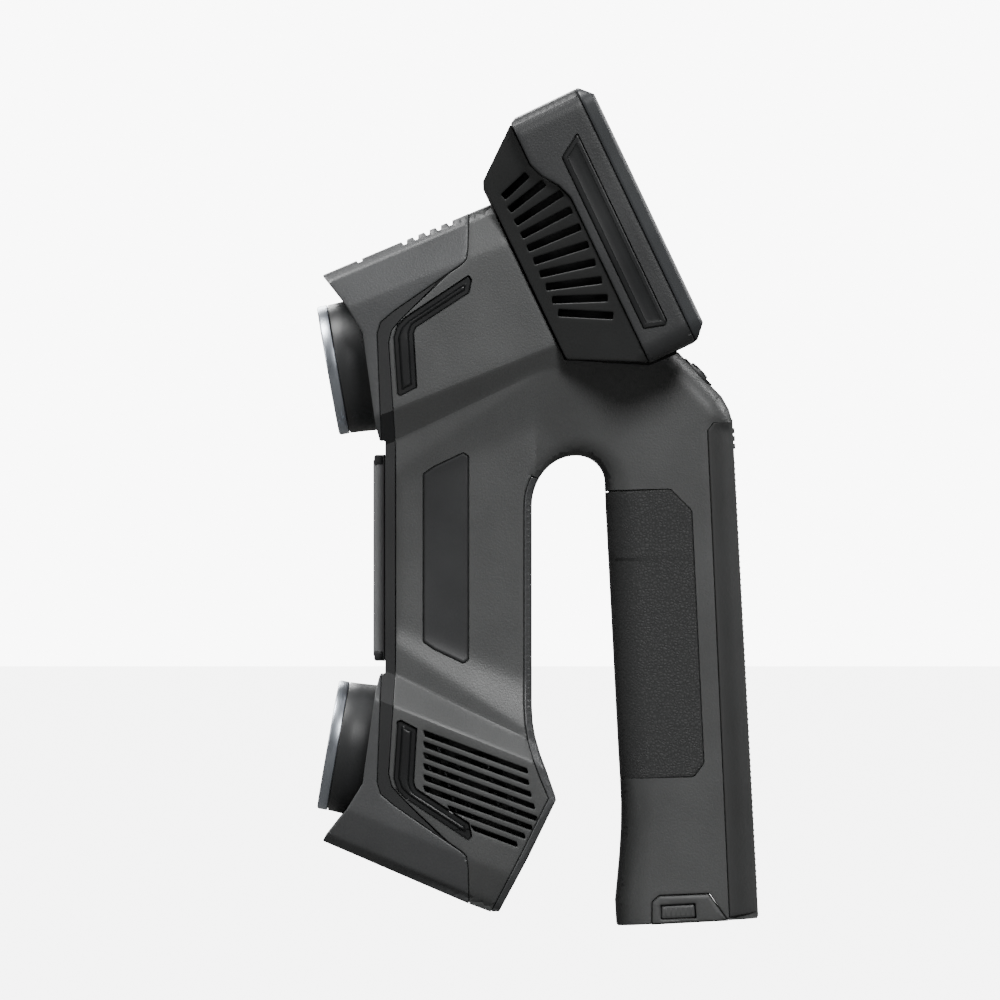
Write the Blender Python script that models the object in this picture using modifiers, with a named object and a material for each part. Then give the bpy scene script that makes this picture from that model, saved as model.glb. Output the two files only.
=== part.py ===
"""Handheld 3-D scanner: two lens housings on a hollow C-shaped body, a grip and a tilted display.

The lenses look along -X, the operator stands at +X, +Z is up and the object is symmetric about Y = 0.
Sizes are in millimetres, and the shape functions turn them to metres. Points of a side outline are
(x, z). Points of a housing outline are (x, height above its lens centre); the lower housing mirrors
the upper one, so its heights count downwards.
"""

import math

import bmesh
import bpy
from mathutils import Matrix, Vector

MM = 0.001

# ---------------------------------------------------------------- driving sizes
LENS_SPREAD = 153.6  # between the two lens centres
LOWER_LENS_Z = 74.0  # height of the lower lens above the grip's foot
LENS_X = -86.2  # front face of a lens ring
TOE_IN = 10.0  # degrees each lens turns towards the other
LENS_RADIUS = 26.8
HOUSING_HALF = 43.0  # half width of a lens housing
BODY_HALF = 35.0  # half width of the body between the housings
WALL = 3.0
GAP = 0.3  # between neighbouring pieces
GRIP_DEPTH = 53.9
GRIP_HALF = 21.0
GRIP_TILT = 3.0  # degrees, foot towards the operator
GRIP_FLARE = 4.6  # how far the foot stands forward of the grip
HEAD_LENGTH = 113.6  # along the screen, bottom to top
HEAD_HALF = 66.0  # half width of the display head
HEAD_LEAN = 64.5  # degrees from straight up to the screen's outward direction
BEZEL_THICK = 6.0
BATTERY_SIZE = (26.0, 33.0, 140.0)
SKIN = 1.2  # thickness of the rubber and trim pieces let into the casings
SCREW_RADIUS = 2.6

UPPER_LENS_Z = LOWER_LENS_Z + LENS_SPREAD
MIDDLE_Z = LOWER_LENS_Z + LENS_SPREAD / 2
BACK_X = -2.4  # rear of the body, where the finger gap begins
FRONT_X = -58.1  # front of the side casings
COVER_THICK = 4.3  # of the front cover, between the casings and the projector block

# Rear edge of a visor, and the front edge of the side casing behind it.
VISOR_EDGE = [
    (-64.0, -32.0),
    (-65.7, 14.8),
    (-64.3, 19.5),
    (-58.9, 24.1),
    (-36.8, 39.4),
    (-31.3, 43.1),
    (-29.3, 45.1),
    (-28.6, 50.3),
    (-27.9, 80.0),
]
CASING_EDGE = [(FRONT_X, -32.0), (-60.8, 11.2), (-59.6, 16.3), (-54.9, 21.6), (-36.9, 39.0)]
COVER_TIP = [(-41.8, 35.5), (-42.5, 34.2)]
TRIM_OUTLINE = [
    (-57.7, -10.2),
    (-59.3, 13.4),
    (-57.6, 18.4),
    (-54.2, 21.8),
    (-28.2, 39.0),
    (-26.7, 36.8),
    (-27.8, 31.2),
    (-49.6, 17.0),
    (-50.4, 14.6),
    (-49.1, -7.4),
    (-56.0, -11.0),
]

# ---------------------------------------------------------------- materials
FINISHES = {
    "shell_plastic": ("4E4F50", 0.55, 0.0),
    "dark_plastic": ("262728", 0.45, 0.0),
    "black_plastic": ("18191A", 0.5, 0.0),
    "rubber": ("2C2D2D", 0.8, 0.0),
    "silver": ("B9C2CC", 0.25, 1.0),
    "glass": ("0C0E12", 0.08, 0.0),
    "aluminium": ("9A9C9E", 0.4, 1.0),
    "circuit_board": ("1E4A30", 0.6, 0.0),
    "battery_wrap": ("22262E", 0.5, 0.0),
}


def channel(value):
    """One sRGB channel, 0 to 1, as linear light."""
    return value / 12.92 if value <= 0.04045 else ((value + 0.055) / 1.055) ** 2.4


def make_finish(name):
    code, roughness, metallic = FINISHES[name]
    made = bpy.data.materials.new(name)
    made.use_nodes = True
    shader = made.node_tree.nodes["Principled BSDF"]
    colour = [channel(int(code[i : i + 2], 16) / 255) for i in (0, 2, 4)]
    shader.inputs["Base Color"].default_value = (*colour, 1.0)
    shader.inputs["Roughness"].default_value = roughness
    shader.inputs["Metallic"].default_value = metallic
    return made


# ---------------------------------------------------------------- scene and frames
for old in list(bpy.data.objects):
    bpy.data.objects.remove(old, do_unlink=True)

PIECES = bpy.data.collections.new("handheld_scanner")
CUTTERS = bpy.data.collections.new("cutters")
CUTTERS.hide_render = True
bpy.context.scene.collection.children.link(PIECES)
bpy.context.scene.collection.children.link(CUTTERS)
MATERIALS = {name: make_finish(name) for name in FINISHES}


def frame_at(name, x, z, turn, parent=None):
    """An empty at (x, z) of the side view, turned about Y; local Z leans towards +X by `turn` degrees."""
    empty = bpy.data.objects.new(name, None)
    PIECES.objects.link(empty)
    empty.parent = parent
    empty.location = (x * MM, 0.0, z * MM)
    empty.rotation_euler = (0.0, math.radians(turn), 0.0)
    empty.empty_display_size = 0.02
    return empty


BODY = frame_at("scanner_frame", 0.0, 0.0, 0.0)
GRIP_FOOT = (63.9, 1.45)
GRIP = frame_at("grip_axis", *GRIP_FOOT, -GRIP_TILT, BODY)
HEAD = frame_at("head_axis", 39.7, UPPER_LENS_Z + 63.0, HEAD_LEAN, BODY)
LENS = {
    "upper": frame_at("upper_lens_axis", LENS_X, UPPER_LENS_Z, -90.0 - TOE_IN, BODY),
    "lower": frame_at("lower_lens_axis", LENS_X, LOWER_LENS_Z, -90.0 + TOE_IN, BODY),
}
SHOULDER_TOP = (57.6, UPPER_LENS_Z + 7.7)
SHOULDER_END = (75.6, UPPER_LENS_Z - 10.6)
SHOULDER_TURN = math.degrees(
    math.atan2(SHOULDER_TOP[1] - SHOULDER_END[1], SHOULDER_END[0] - SHOULDER_TOP[0])
)
KEYPAD_CENTRE = (65.8, UPPER_LENS_Z - 0.75)
KEYPAD = frame_at("keypad_axis", *KEYPAD_CENTRE, SHOULDER_TURN, BODY)


# ---------------------------------------------------------------- outlines
def beside(points, distance):
    """A line of points moved sideways, to its right as it runs."""
    moved = []
    for i, point in enumerate(points):
        here = Vector(point)
        before = Vector(points[i - 1]) if i else None
        after = Vector(points[i + 1]) if i + 1 < len(points) else None
        runs = [(here - before).normalized()] if before else []
        runs += [(after - here).normalized()] if after else []
        normals = [Vector((run.y, -run.x)) for run in runs]
        normal = sum(normals, Vector((0, 0))).normalized()
        moved.append(tuple(here + normal * (distance / normal.dot(normals[0]))))
    return moved


def inset(points, distance):
    """A closed outline drawn in by a distance, or let out when it is negative."""
    area = sum(
        a[0] * b[1] - b[0] * a[1] for a, b in zip(points, points[1:] + points[:1])
    )
    ring = [points[-1], *points, points[0]]
    return beside(ring, -distance if area > 0 else distance)[1:-1]


def arc(centre, radii, start, end, steps):
    """Points on an ellipse's arc, from one angle to the other in degrees."""
    angles = [math.radians(start + (end - start) * i / steps) for i in range(steps + 1)]
    return [(centre[0] + radii[0] * math.cos(a), centre[1] + radii[1] * math.sin(a)) for a in angles]


def rounded_box(half_x, half_y, radius, steps=3):
    """A rectangle with round corners."""
    corners = ((1, 1, 0), (-1, 1, 90), (-1, -1, 180), (1, -1, 270))
    return [
        point
        for sx, sy, start in corners
        for point in arc(
            (sx * (half_x - radius), sy * (half_y - radius)), (radius, radius), start, start + 90, steps
        )
    ]


def at_lens(points, side):
    """Outline points counted from a lens centre, as points of the side view."""
    if side == "upper":
        return [(x, UPPER_LENS_Z + z) for x, z in points]
    return [(x, LOWER_LENS_Z - z) for x, z in points]


# ---------------------------------------------------------------- solids
def as_mesh(obj):
    """The mesh that an object with its modifiers evaluates to, in place of the object."""
    bpy.context.view_layer.update()
    graph = bpy.context.evaluated_depsgraph_get()
    mesh = bpy.data.meshes.new_from_object(obj.evaluated_get(graph))
    made = bmesh.new()
    made.from_mesh(mesh)
    bmesh.ops.remove_doubles(made, verts=made.verts, dist=1e-6)
    bmesh.ops.recalc_face_normals(made, faces=made.faces)
    made.to_mesh(mesh)
    made.free()
    solid = bpy.data.objects.new("solid", mesh)
    CUTTERS.objects.link(solid)
    solid.matrix_world = obj.matrix_world
    bpy.data.objects.remove(obj, do_unlink=True)
    return solid


def placed(obj, frame):
    """Gives a solid its frame; its mesh already stands in that frame's axes."""
    obj.data.transform(obj.matrix_basis)
    obj.matrix_basis = Matrix.Identity(4)
    obj.parent = frame
    return obj


def plate(outline, low, high, axis="Y", frame=BODY):
    """A flat outline extruded along Y (outline in x, z) or along Z (outline in x, y)."""
    curve = bpy.data.curves.new("outline", "CURVE")
    curve.dimensions = "2D"
    curve.fill_mode = "BOTH"
    curve.extrude = (high - low) / 2 * MM
    spline = curve.splines.new("POLY")
    spline.points.add(len(outline) - 1)
    for point, (a, b) in zip(spline.points, outline):
        point.co = (a * MM, b * MM, 0.0, 1.0)
    spline.use_cyclic_u = True
    obj = bpy.data.objects.new("outline", curve)
    CUTTERS.objects.link(obj)
    middle = (low + high) / 2 * MM
    if axis == "Y":
        obj.matrix_basis = Matrix.Translation((0, middle, 0)) @ Matrix.Rotation(math.pi / 2, 4, "X")
    else:
        obj.matrix_basis = Matrix.Translation((0, 0, middle))
    return placed(as_mesh(obj), frame)


def hull(points, frame=BODY):
    """The convex solid round a few corners."""
    made = bmesh.new()
    for point in points:
        made.verts.new(Vector(point) * MM)
    bmesh.ops.convex_hull(made, input=made.verts)
    mesh = bpy.data.meshes.new("hull")
    bmesh.ops.recalc_face_normals(made, faces=made.faces)
    made.to_mesh(mesh)
    made.free()
    obj = bpy.data.objects.new("hull", mesh)
    CUTTERS.objects.link(obj)
    obj.parent = frame
    return obj


def box(low, high, frame=BODY):
    """A block between two corners."""
    made = bmesh.new()
    bmesh.ops.create_cube(made, size=1.0)
    size = [(b - a) * MM for a, b in zip(low, high)]
    middle = [(a + b) / 2 * MM for a, b in zip(low, high)]
    bmesh.ops.transform(
        made, matrix=Matrix.Translation(middle) @ Matrix.Diagonal((*size, 1.0)), verts=made.verts
    )
    mesh = bpy.data.meshes.new("block")
    made.to_mesh(mesh)
    made.free()
    obj = bpy.data.objects.new("block", mesh)
    CUTTERS.objects.link(obj)
    obj.parent = frame
    return obj


def turned(profile, frame=BODY, steps=32, turn_to_y=False, centre=(0, 0, 0)):
    """A solid turned about local Z, or Y, from (radius, height) points down its outer side."""
    mesh = bpy.data.meshes.new("profile")
    points = [(radius * MM, 0.0, height * MM) for radius, height in profile]
    closed = profile[0][0] > 0 and profile[-1][0] > 0
    edges = [(i, i + 1) for i in range(len(points) - 1)]
    edges += [(len(points) - 1, 0)] if closed else []
    mesh.from_pydata(points, edges, [])
    obj = bpy.data.objects.new("profile", mesh)
    CUTTERS.objects.link(obj)
    screw = obj.modifiers.new("Turn", "SCREW")
    screw.steps = steps
    screw.render_steps = steps
    screw.use_merge_vertices = True
    screw.merge_threshold = 1e-6
    if turn_to_y:
        obj.matrix_basis = Matrix.Rotation(-math.pi / 2, 4, "X")
    obj.matrix_basis = Matrix.Translation(Vector(centre) * MM) @ obj.matrix_basis
    return placed(as_mesh(obj), frame)


def rod(radius, low, high, **place):
    """A plain cylinder."""
    return turned([(0.0, high), (radius, high), (radius, low), (0.0, low)], **place)


def tube(outer, inner, low, high, **place):
    """A plain ring."""
    return turned([(outer, high), (outer, low), (inner, low), (inner, high)], **place)


def combine(obj, tool, operation):
    """Joins, cuts or crosses a solid with another, and drops that tool."""
    modifier = obj.modifiers.new(operation.title(), "BOOLEAN")
    modifier.operation = operation
    modifier.object = tool
    bpy.context.view_layer.update()
    graph = bpy.context.evaluated_depsgraph_get()
    mesh = bpy.data.meshes.new_from_object(obj.evaluated_get(graph))
    obj.modifiers.clear()
    obj.data = mesh
    bpy.data.objects.remove(tool, do_unlink=True)
    return obj


def join(obj, *tools):
    for tool in tools:
        combine(obj, tool, "UNION")
    return obj


def cut(obj, *tools):
    for tool in tools:
        combine(obj, tool, "DIFFERENCE")
    return obj


def cross(obj, tool):
    return combine(obj, tool, "INTERSECT")


def copy_of(obj):
    twin = obj.copy()
    twin.data = obj.data.copy()
    CUTTERS.objects.link(twin)
    return twin


def mirror_copy(obj):
    """The same solid on the other side of Y = 0."""
    twin = copy_of(obj)
    twin.data.transform(Matrix.Scale(-1.0, 4, (0, 1, 0)))
    twin.data.flip_normals()
    return twin


def shave(obj, corners, depth=0.0):
    """Cuts a solid along the plane through three points, on both sides of Y = 0, `depth` further in."""
    a, b, c = (Vector(corner) * MM for corner in corners)
    normal = (b - a).cross(c - a).normalized()
    if normal.y < 0:
        normal.negate()
    for side in (1.0, -1.0):
        facing = Vector((normal.x, normal.y * side, normal.z))
        point = Vector((a.x, a.y * side, a.z)) - facing * depth * MM
        slice_off(obj, point, facing)
    return obj


def slice_off(obj, point, facing):
    """Cuts away what lies beyond a plane of the solid's own frame."""
    made = bmesh.new()
    made.from_mesh(obj.data)
    everything = [*made.verts, *made.edges, *made.faces]
    bmesh.ops.bisect_plane(
        made, geom=everything, dist=1e-7, plane_co=point, plane_no=facing, clear_outer=True
    )
    rim = [edge for edge in made.edges if edge.is_boundary]
    bmesh.ops.holes_fill(made, edges=rim, sides=0)
    bmesh.ops.recalc_face_normals(made, faces=made.faces)
    made.to_mesh(obj.data)
    made.free()


def finish(obj, name, material, smooth=35.0):
    """Names a finished piece, gives it its material and moves it to the object's collection."""
    obj.name = name
    obj.data.name = name
    CUTTERS.objects.unlink(obj)
    PIECES.objects.link(obj)
    obj.data.materials.clear()
    obj.data.materials.append(MATERIALS[material])
    obj.data.shade_smooth()
    obj.data.set_sharp_from_angle(angle=math.radians(smooth))
    return obj


# ---------------------------------------------------------------- outer form and its hollow
HOOD = [(-64.4, -28.9), (-66.3, -22.7), (-71.6, 15.4), (-78.2, 26.1), (-88.4, 38.8)]
ROOF_SHAPE = [*HOOD, (-19.4, 67.7), (10.8, 4.3), (FRONT_X + 2.0, -34.0)]
KEEL_SHAPE = [*HOOD, (-18.3, 68.8), (-16.0, 68.0), (7.5, 22.1), (BACK_X - 2.9, -4.5), (FRONT_X + 2.0, -34.0)]
BELLY_FACET = ((-58.5, -16.2, 0.0), (8.3, 10.5, 0.0), (-58.1, -28.9, BODY_HALF - HOUSING_HALF))
FLANK_FACET = ((-78.0, 25.9, 0.0), (-12.0, 52.4, 0.0), (-19.4, 63.7, -4.0))
ROOF_FACET = ((-88.4, 34.8, -4.0), (-19.4, 63.7, -4.0), (-19.4, 67.7, -9.0))


def housing(side, depth):
    """A lens housing with its visor, drawn in by a depth."""
    outline = at_lens(ROOF_SHAPE if side == "upper" else KEEL_SHAPE, side)
    solid = plate(inset(outline, depth), depth - HOUSING_HALF, HOUSING_HALF - depth)
    for facet in (BELLY_FACET, FLANK_FACET, ROOF_FACET):
        corners = [
            (*at_lens([(x, z)], side)[0], HOUSING_HALF + inwards) for x, z, inwards in facet
        ]
        shave(solid, [(x, y, z) for x, z, y in corners], depth)
    return solid


def waist(depth):
    """The body between the housings, drawn in by a depth."""
    outline = [
        (FRONT_X - COVER_THICK, LOWER_LENS_Z + 28.9),
        (FRONT_X, LOWER_LENS_Z - 10.0),
        (BACK_X, LOWER_LENS_Z - 6.0),
        (BACK_X, UPPER_LENS_Z - 6.0),
        (FRONT_X, UPPER_LENS_Z - 6.0),
        (FRONT_X - COVER_THICK, UPPER_LENS_Z - 28.9),
    ]
    return plate(inset(outline, depth), depth - BODY_HALF, BODY_HALF - depth)


def neck(depth):
    """The bridge from the body to the top of the grip, narrowing as it goes."""
    wide = BODY_HALF - depth
    slim = GRIP_HALF - 1.0 - depth
    top = UPPER_LENS_Z - depth
    low = UPPER_LENS_Z + depth
    side = [
        (-30.0, wide - 0.8, low - 44.0),
        (-26.5, wide - 0.1, top - 20.7),
        (11.0, wide + 3.0, top + 3.4),
        (BACK_X - depth - 0.4, wide - 1.0, low - 48.0),
        (58.0, slim, top + 7.5),
        (60.0, slim, low - 26.0),
        (24.0, slim, low - 33.0),
        (1.0 - depth, slim + 10.0, low - 42.0),
    ]
    return hull([(x, y * s, z) for x, y, z in side for s in (1, -1)])


def column(depth, foot=0.0):
    """The grip's upright, flared forward at its foot, drawn in by a depth and starting at a height."""
    top = UPPER_LENS_Z + 12.0
    radius = 13.0 - depth / 2
    outline = rounded_box(GRIP_DEPTH / 2 - depth, GRIP_HALF - depth, radius, 4)
    solid = plate(outline, foot, top, "Z", GRIP)
    made = bmesh.new()
    made.from_mesh(solid.data)
    for height in (11.0, 30.0, 50.0):
        bmesh.ops.bisect_plane(
            made,
            geom=[*made.verts, *made.edges, *made.faces],
            dist=1e-7,
            plane_co=(0, 0, height * MM),
            plane_no=(0, 0, 1),
        )
    for vert in made.verts:
        reach = min(1.0, max(0.0, (50.0 - vert.co.z / MM) / 39.0))
        share = min(1.0, max(0.0, -vert.co.x / MM / (GRIP_DEPTH / 2 - radius)))
        vert.co.x -= GRIP_FLARE * MM * reach**1.5 * share
    made.to_mesh(solid.data)
    made.free()
    return solid


def along_shoulder(depth):
    """Cutters that give the grip its sloping shoulder and the corner behind it, in the body's frame."""
    a, b = Vector(SHOULDER_TOP), Vector(SHOULDER_END)
    c = Vector((80.1, UPPER_LENS_Z - 20.7))
    run = (b - a).normalized()
    far = [tuple(a - run * 40.0), tuple(b), tuple(c), tuple(c + Vector((0.4, -8.0)))]
    return plate(
        [*beside(far, -depth), (130.0, UPPER_LENS_Z - 20.0), (130.0, UPPER_LENS_Z + 60.0)], -80.0, 80.0
    )


def head_outline():
    """Side outline of the display head in its own frame: x runs down the screen, z out of it."""
    half = HEAD_LENGTH / 2
    return [
        (half, BEZEL_THICK),
        (half, -20.7),
        (40.5, -50.6),
        (-38.7, -50.6),
        (-54.9, -30.0),
        (-half, -27.0),
        (-half, BEZEL_THICK),
    ]


def head_room():
    """Space that the casings leave for the display head."""
    return plate(inset(head_outline(), -GAP), -80.0, 80.0, "Y", HEAD)


def finger_gap():
    """The open space between the body and the grip."""
    left = UPPER_LENS_Z - 55.6
    right = UPPER_LENS_Z - 46.1
    outline = [
        *arc((16.0, left), (16.0 - BACK_X, 20.8), 180, 90, 8),
        *arc((16.0, right), (11.7, 11.3), 90, 0, 6),
        (28.1, UPPER_LENS_Z - 62.0),
        (BACK_X, UPPER_LENS_Z - 62.0),
    ]
    return plate(outline, -80.0, 80.0)


def body_form(depth, foot=0.0):
    """Everything the casings enclose, drawn in by a depth."""
    solid = housing("upper", depth)
    join(solid, housing("lower", depth), waist(depth), neck(depth), column(depth, foot))
    return cut(solid, along_shoulder(depth))


outer = cut(body_form(0.0), head_room(), finger_gap())
inner = body_form(WALL, WALL)
cut(inner, plate(inset(head_outline(), -WALL), -80.0, 80.0, "Y", HEAD))
arch_wall = [
    *arc((16.0, UPPER_LENS_Z - 55.6), (16.0 - BACK_X + WALL, 20.8 + WALL), 180, 90, 8),
    *arc((16.0, UPPER_LENS_Z - 46.1), (11.7 + WALL, 11.3 + WALL), 90, 0, 6),
    (28.1 + WALL, UPPER_LENS_Z - 62.0),
    (BACK_X - WALL, UPPER_LENS_Z - 62.0),
]
cut(inner, plate(arch_wall, -80.0, 80.0))


# ---------------------------------------------------------------- regions of the side view
def front_of(side, edge):
    """Everything in front of an edge that runs up a housing."""
    far = [(-130.0, edge[-1][1]), (-130.0, edge[0][1])]
    return plate(at_lens([*edge, *far], side), -80.0, 80.0)


def lens_bore(side, radius, low, high):
    return rod(radius, low, high, frame=LENS[side], steps=40)


cover_front = beside(VISOR_EDGE, GAP)[:4]
cover_back = beside(CASING_EDGE, -GAP)[:4]
casing_front = [*CASING_EDGE, *beside(VISOR_EDGE, GAP)[5:]]
BARREL_FRONT = -4.6
BARREL_REAR = -16.6
barrel_rear_radius = LENS_RADIUS + math.tan(math.radians(4.0)) * (BARREL_FRONT - BARREL_REAR)

# ---------------------------------------------------------------- visors
RIB_COUNT = 5
RIB_PITCH = 4.65
for side in ("upper", "lower"):
    visor = cross(copy_of(outer), front_of(side, VISOR_EDGE))
    cut(visor, copy_of(inner), lens_bore(side, barrel_rear_radius + 0.6, -40.0, 20.0))
    if side == "upper":
        for index in range(RIB_COUNT):
            x = -53.1 + RIB_PITCH * index
            z = 38.8 + (x + 88.4) * (67.7 - 38.8) / (88.4 - 19.4)
            groove = [(x - 0.9, z - 2.0), (x + 0.9, z - 1.3), (x - 0.2, z + 4.0), (x - 2.0, z + 4.0)]
            cut(visor, plate(at_lens(groove, side), -60.0, 60.0))
    else:
        strip = [(-46.0, 55.0), (-29.4, 62.0), (-30.5, 70.0), (-47.0, 70.0)]
        cut(visor, plate(at_lens(strip, side), -24.0, 24.0))
    finish(visor, f"visor_{side}", "shell_plastic")

# ---------------------------------------------------------------- front cover
cover_tips = {side: at_lens([*cover_front[1:], *COVER_TIP], side) for side in ("upper", "lower")}
front_cover_outline = [
    (cover_front[0][0] - 0.1, LOWER_LENS_Z + 28.6),
    (FRONT_X - COVER_THICK, LOWER_LENS_Z + 29.2),
    (FRONT_X - COVER_THICK, UPPER_LENS_Z - 29.2),
    (cover_front[0][0] - 0.1, UPPER_LENS_Z - 28.6),
    *cover_tips["upper"],
    *reversed(at_lens(cover_back[1:], "upper")),
    (FRONT_X - GAP, UPPER_LENS_Z - 28.9),
    (FRONT_X - GAP, LOWER_LENS_Z + 28.9),
    *at_lens(cover_back[1:], "lower"),
    *reversed(cover_tips["lower"]),
]
front_cover = cross(copy_of(outer), plate(front_cover_outline, -80.0, 80.0))
for side in ("upper", "lower"):
    cut(front_cover, lens_bore(side, 12.0, -50.0, -10.0))
WINDOW_HALF = (13.0, 34.0)  # opening of the projector block: half width and half height
cut(
    front_cover,
    box(
        (-80.0, -WINDOW_HALF[0], MIDDLE_Z - WINDOW_HALF[1]),
        (-50.0, WINDOW_HALF[0], MIDDLE_Z + WINDOW_HALF[1]),
    ),
)
finish(front_cover, "front_cover", "black_plastic")

# ---------------------------------------------------------------- rear cover and side casings
REAR_BAND = WALL + 0.1  # a little over the wall, so that nothing of it is left behind the band
rear_line = [
    (1.0, UPPER_LENS_Z - 45.0),
    (BACK_X, UPPER_LENS_Z - 55.6),
    (BACK_X, LOWER_LENS_Z - 1.5),
    (7.5, LOWER_LENS_Z - 22.1),
    (-16.0, LOWER_LENS_Z - 68.0),
]
rear_inside = beside(rear_line, REAR_BAND)
rear_beyond = beside(rear_line, -3.0)
rear_band = plate([*rear_inside, *reversed(rear_beyond)], -80.0, 80.0)
rear_cut = plate([*beside(rear_line, REAR_BAND + GAP), *reversed(rear_beyond)], -80.0, 80.0)
finish(cross(copy_of(outer), rear_band), "rear_cover", "shell_plastic")

casing = cut(copy_of(outer), copy_of(inner), front_of("upper", casing_front))
cut(casing, front_of("lower", casing_front), rear_cut)
middle_front = [
    (FRONT_X, LOWER_LENS_Z + 20.0),
    (FRONT_X, UPPER_LENS_Z - 20.0),
    (-80.0, UPPER_LENS_Z - 20.0),
    (-80.0, LOWER_LENS_Z + 20.0),
]
cut(casing, plate(middle_front, -80.0, 80.0))

# ---------------------------------------------------------------- skins of the grip
PAD_TOP = [(10.0, -50.1), (28.0, -50.1), (54.4, -48.8), (63.1, -57.4)]  # heights from the upper lens
PAD_FOOT = [(68.1, 66.6), (63.9, 61.1), (33.0, 60.2), (10.0, 60.2)]
pad_outline = [*at_lens(PAD_TOP, "upper"), *PAD_FOOT]
STRIP_TOP = UPPER_LENS_Z - 21.6
strip_outline = [(69.9, STRIP_TOP - 2.6), (71.8, STRIP_TOP), (110.0, STRIP_TOP), (110.0, 3.6), (78.7, 3.6)]


def skin(outline, depth, clearance):
    """The outer layer of the grip inside a side outline, to a depth, let out by a clearance."""
    layer = cut(column(0.0), along_shoulder(0.0), column(depth, -5.0))
    return cross(layer, plate(inset(outline, -clearance), -80.0, 80.0))


def pocket(outline, depth, clearance):
    """Room for a skin piece."""
    layer = cut(column(-1.0, -3.0), column(depth, -5.0))
    return cross(layer, plate(inset(outline, -clearance), -80.0, 80.0))


for name, outline in (("grip_pad", pad_outline), ("rear_strip", strip_outline)):
    piece = skin(outline, SKIN, 0.0)
    if name == "rear_strip":
        for index in range(3):
            z = STRIP_TOP - 4.0 - 3.2 * index
            tooth = box((70.0, -7.0, z - 1.1), (83.0, 7.0, z + 1.1))
            tilt = math.radians(GRIP_TILT)
            x_rear = GRIP_FOOT[0] + GRIP_DEPTH / 2 / math.cos(tilt) - (z - GRIP_FOOT[1]) * math.tan(tilt)
            tooth.data.transform(Matrix.Translation(((x_rear + 0.6 - 83.0) * MM, 0, 0)))
            slice_off(tooth, Vector(((x_rear - 0.8) * MM, 0, 0)), Vector((-1, 0, 0)))
            join(piece, tooth)
    finish(piece, name, "rubber")
    cut(casing, pocket(outline, SKIN + GAP, GAP))


# ---------------------------------------------------------------- trims and plates in the sides
def side_piece(name, outline, half_width, material, thick=SKIN, sink=0.2):
    """A flat piece let into both side casings, one node on each side."""
    low = half_width - sink - thick
    for label, sign in (("left", -1), ("right", 1)):
        piece = plate(outline, low, half_width - sink)
        room = plate(inset(outline, -GAP), low - GAP, half_width + 20.0)
        if sign < 0:
            mirrored, room_mirrored = mirror_copy(piece), mirror_copy(room)
            bpy.data.objects.remove(piece, do_unlink=True)
            bpy.data.objects.remove(room, do_unlink=True)
            piece, room = mirrored, room_mirrored
        finish(piece, f"{name}_{label}", material)
        cut(casing, room)


for side in ("upper", "lower"):
    side_piece(f"trim_{side}", at_lens(TRIM_OUTLINE, side), HOUSING_HALF, "dark_plastic")
NAMEPLATE_HALF = MIDDLE_Z - 108.3
nameplate_outline = [
    (-47.2, MIDDLE_Z - NAMEPLATE_HALF + 10.0),
    (-42.5, MIDDLE_Z - NAMEPLATE_HALF + 5.3),
    (-30.4, MIDDLE_Z - NAMEPLATE_HALF - 1.0),
    (-28.0, MIDDLE_Z - NAMEPLATE_HALF + 0.5),
    (-28.0, MIDDLE_Z + NAMEPLATE_HALF - 0.5),
    (-30.4, MIDDLE_Z + NAMEPLATE_HALF + 1.0),
    (-42.5, MIDDLE_Z + NAMEPLATE_HALF - 5.3),
    (-47.2, MIDDLE_Z + NAMEPLATE_HALF - 10.0),
]
side_piece("nameplate", nameplate_outline, BODY_HALF, "dark_plastic")

# ---------------------------------------------------------------- air slots of the lower housing
SLOT_PITCH = 4.5
SLOT_SLOPE = math.tan(math.radians(20.4))
SLOT_HEIGHT = 2.5
SLOT_TOP = (-47.2, 6.8)  # where the first slot's upper edge begins, seen from the lower lens
SLOT_STARTS = (-47.0, -47.0, -47.0, -47.0, -47.0, -47.0, -37.5, -28.0)  # the last two begin past the trim
SLOT_ENDS = (-4.5, -4.5, -3.1, -1.7, -4.8, -7.8, -10.8, -13.8)
for index, (start, end) in enumerate(zip(SLOT_STARTS, SLOT_ENDS)):
    first = SLOT_TOP[1] - SLOT_PITCH * index
    heights = [first - (x - SLOT_TOP[0]) * SLOT_SLOPE for x in (start, end)]
    shape = [
        (start, -heights[0]),
        (end, -heights[1]),
        (end + 0.6, -heights[1] + SLOT_HEIGHT),
        (start + 0.3, -heights[0] + SLOT_HEIGHT),
    ]
    cut(casing, plate(at_lens(shape, "lower"), -60.0, 60.0))

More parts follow.
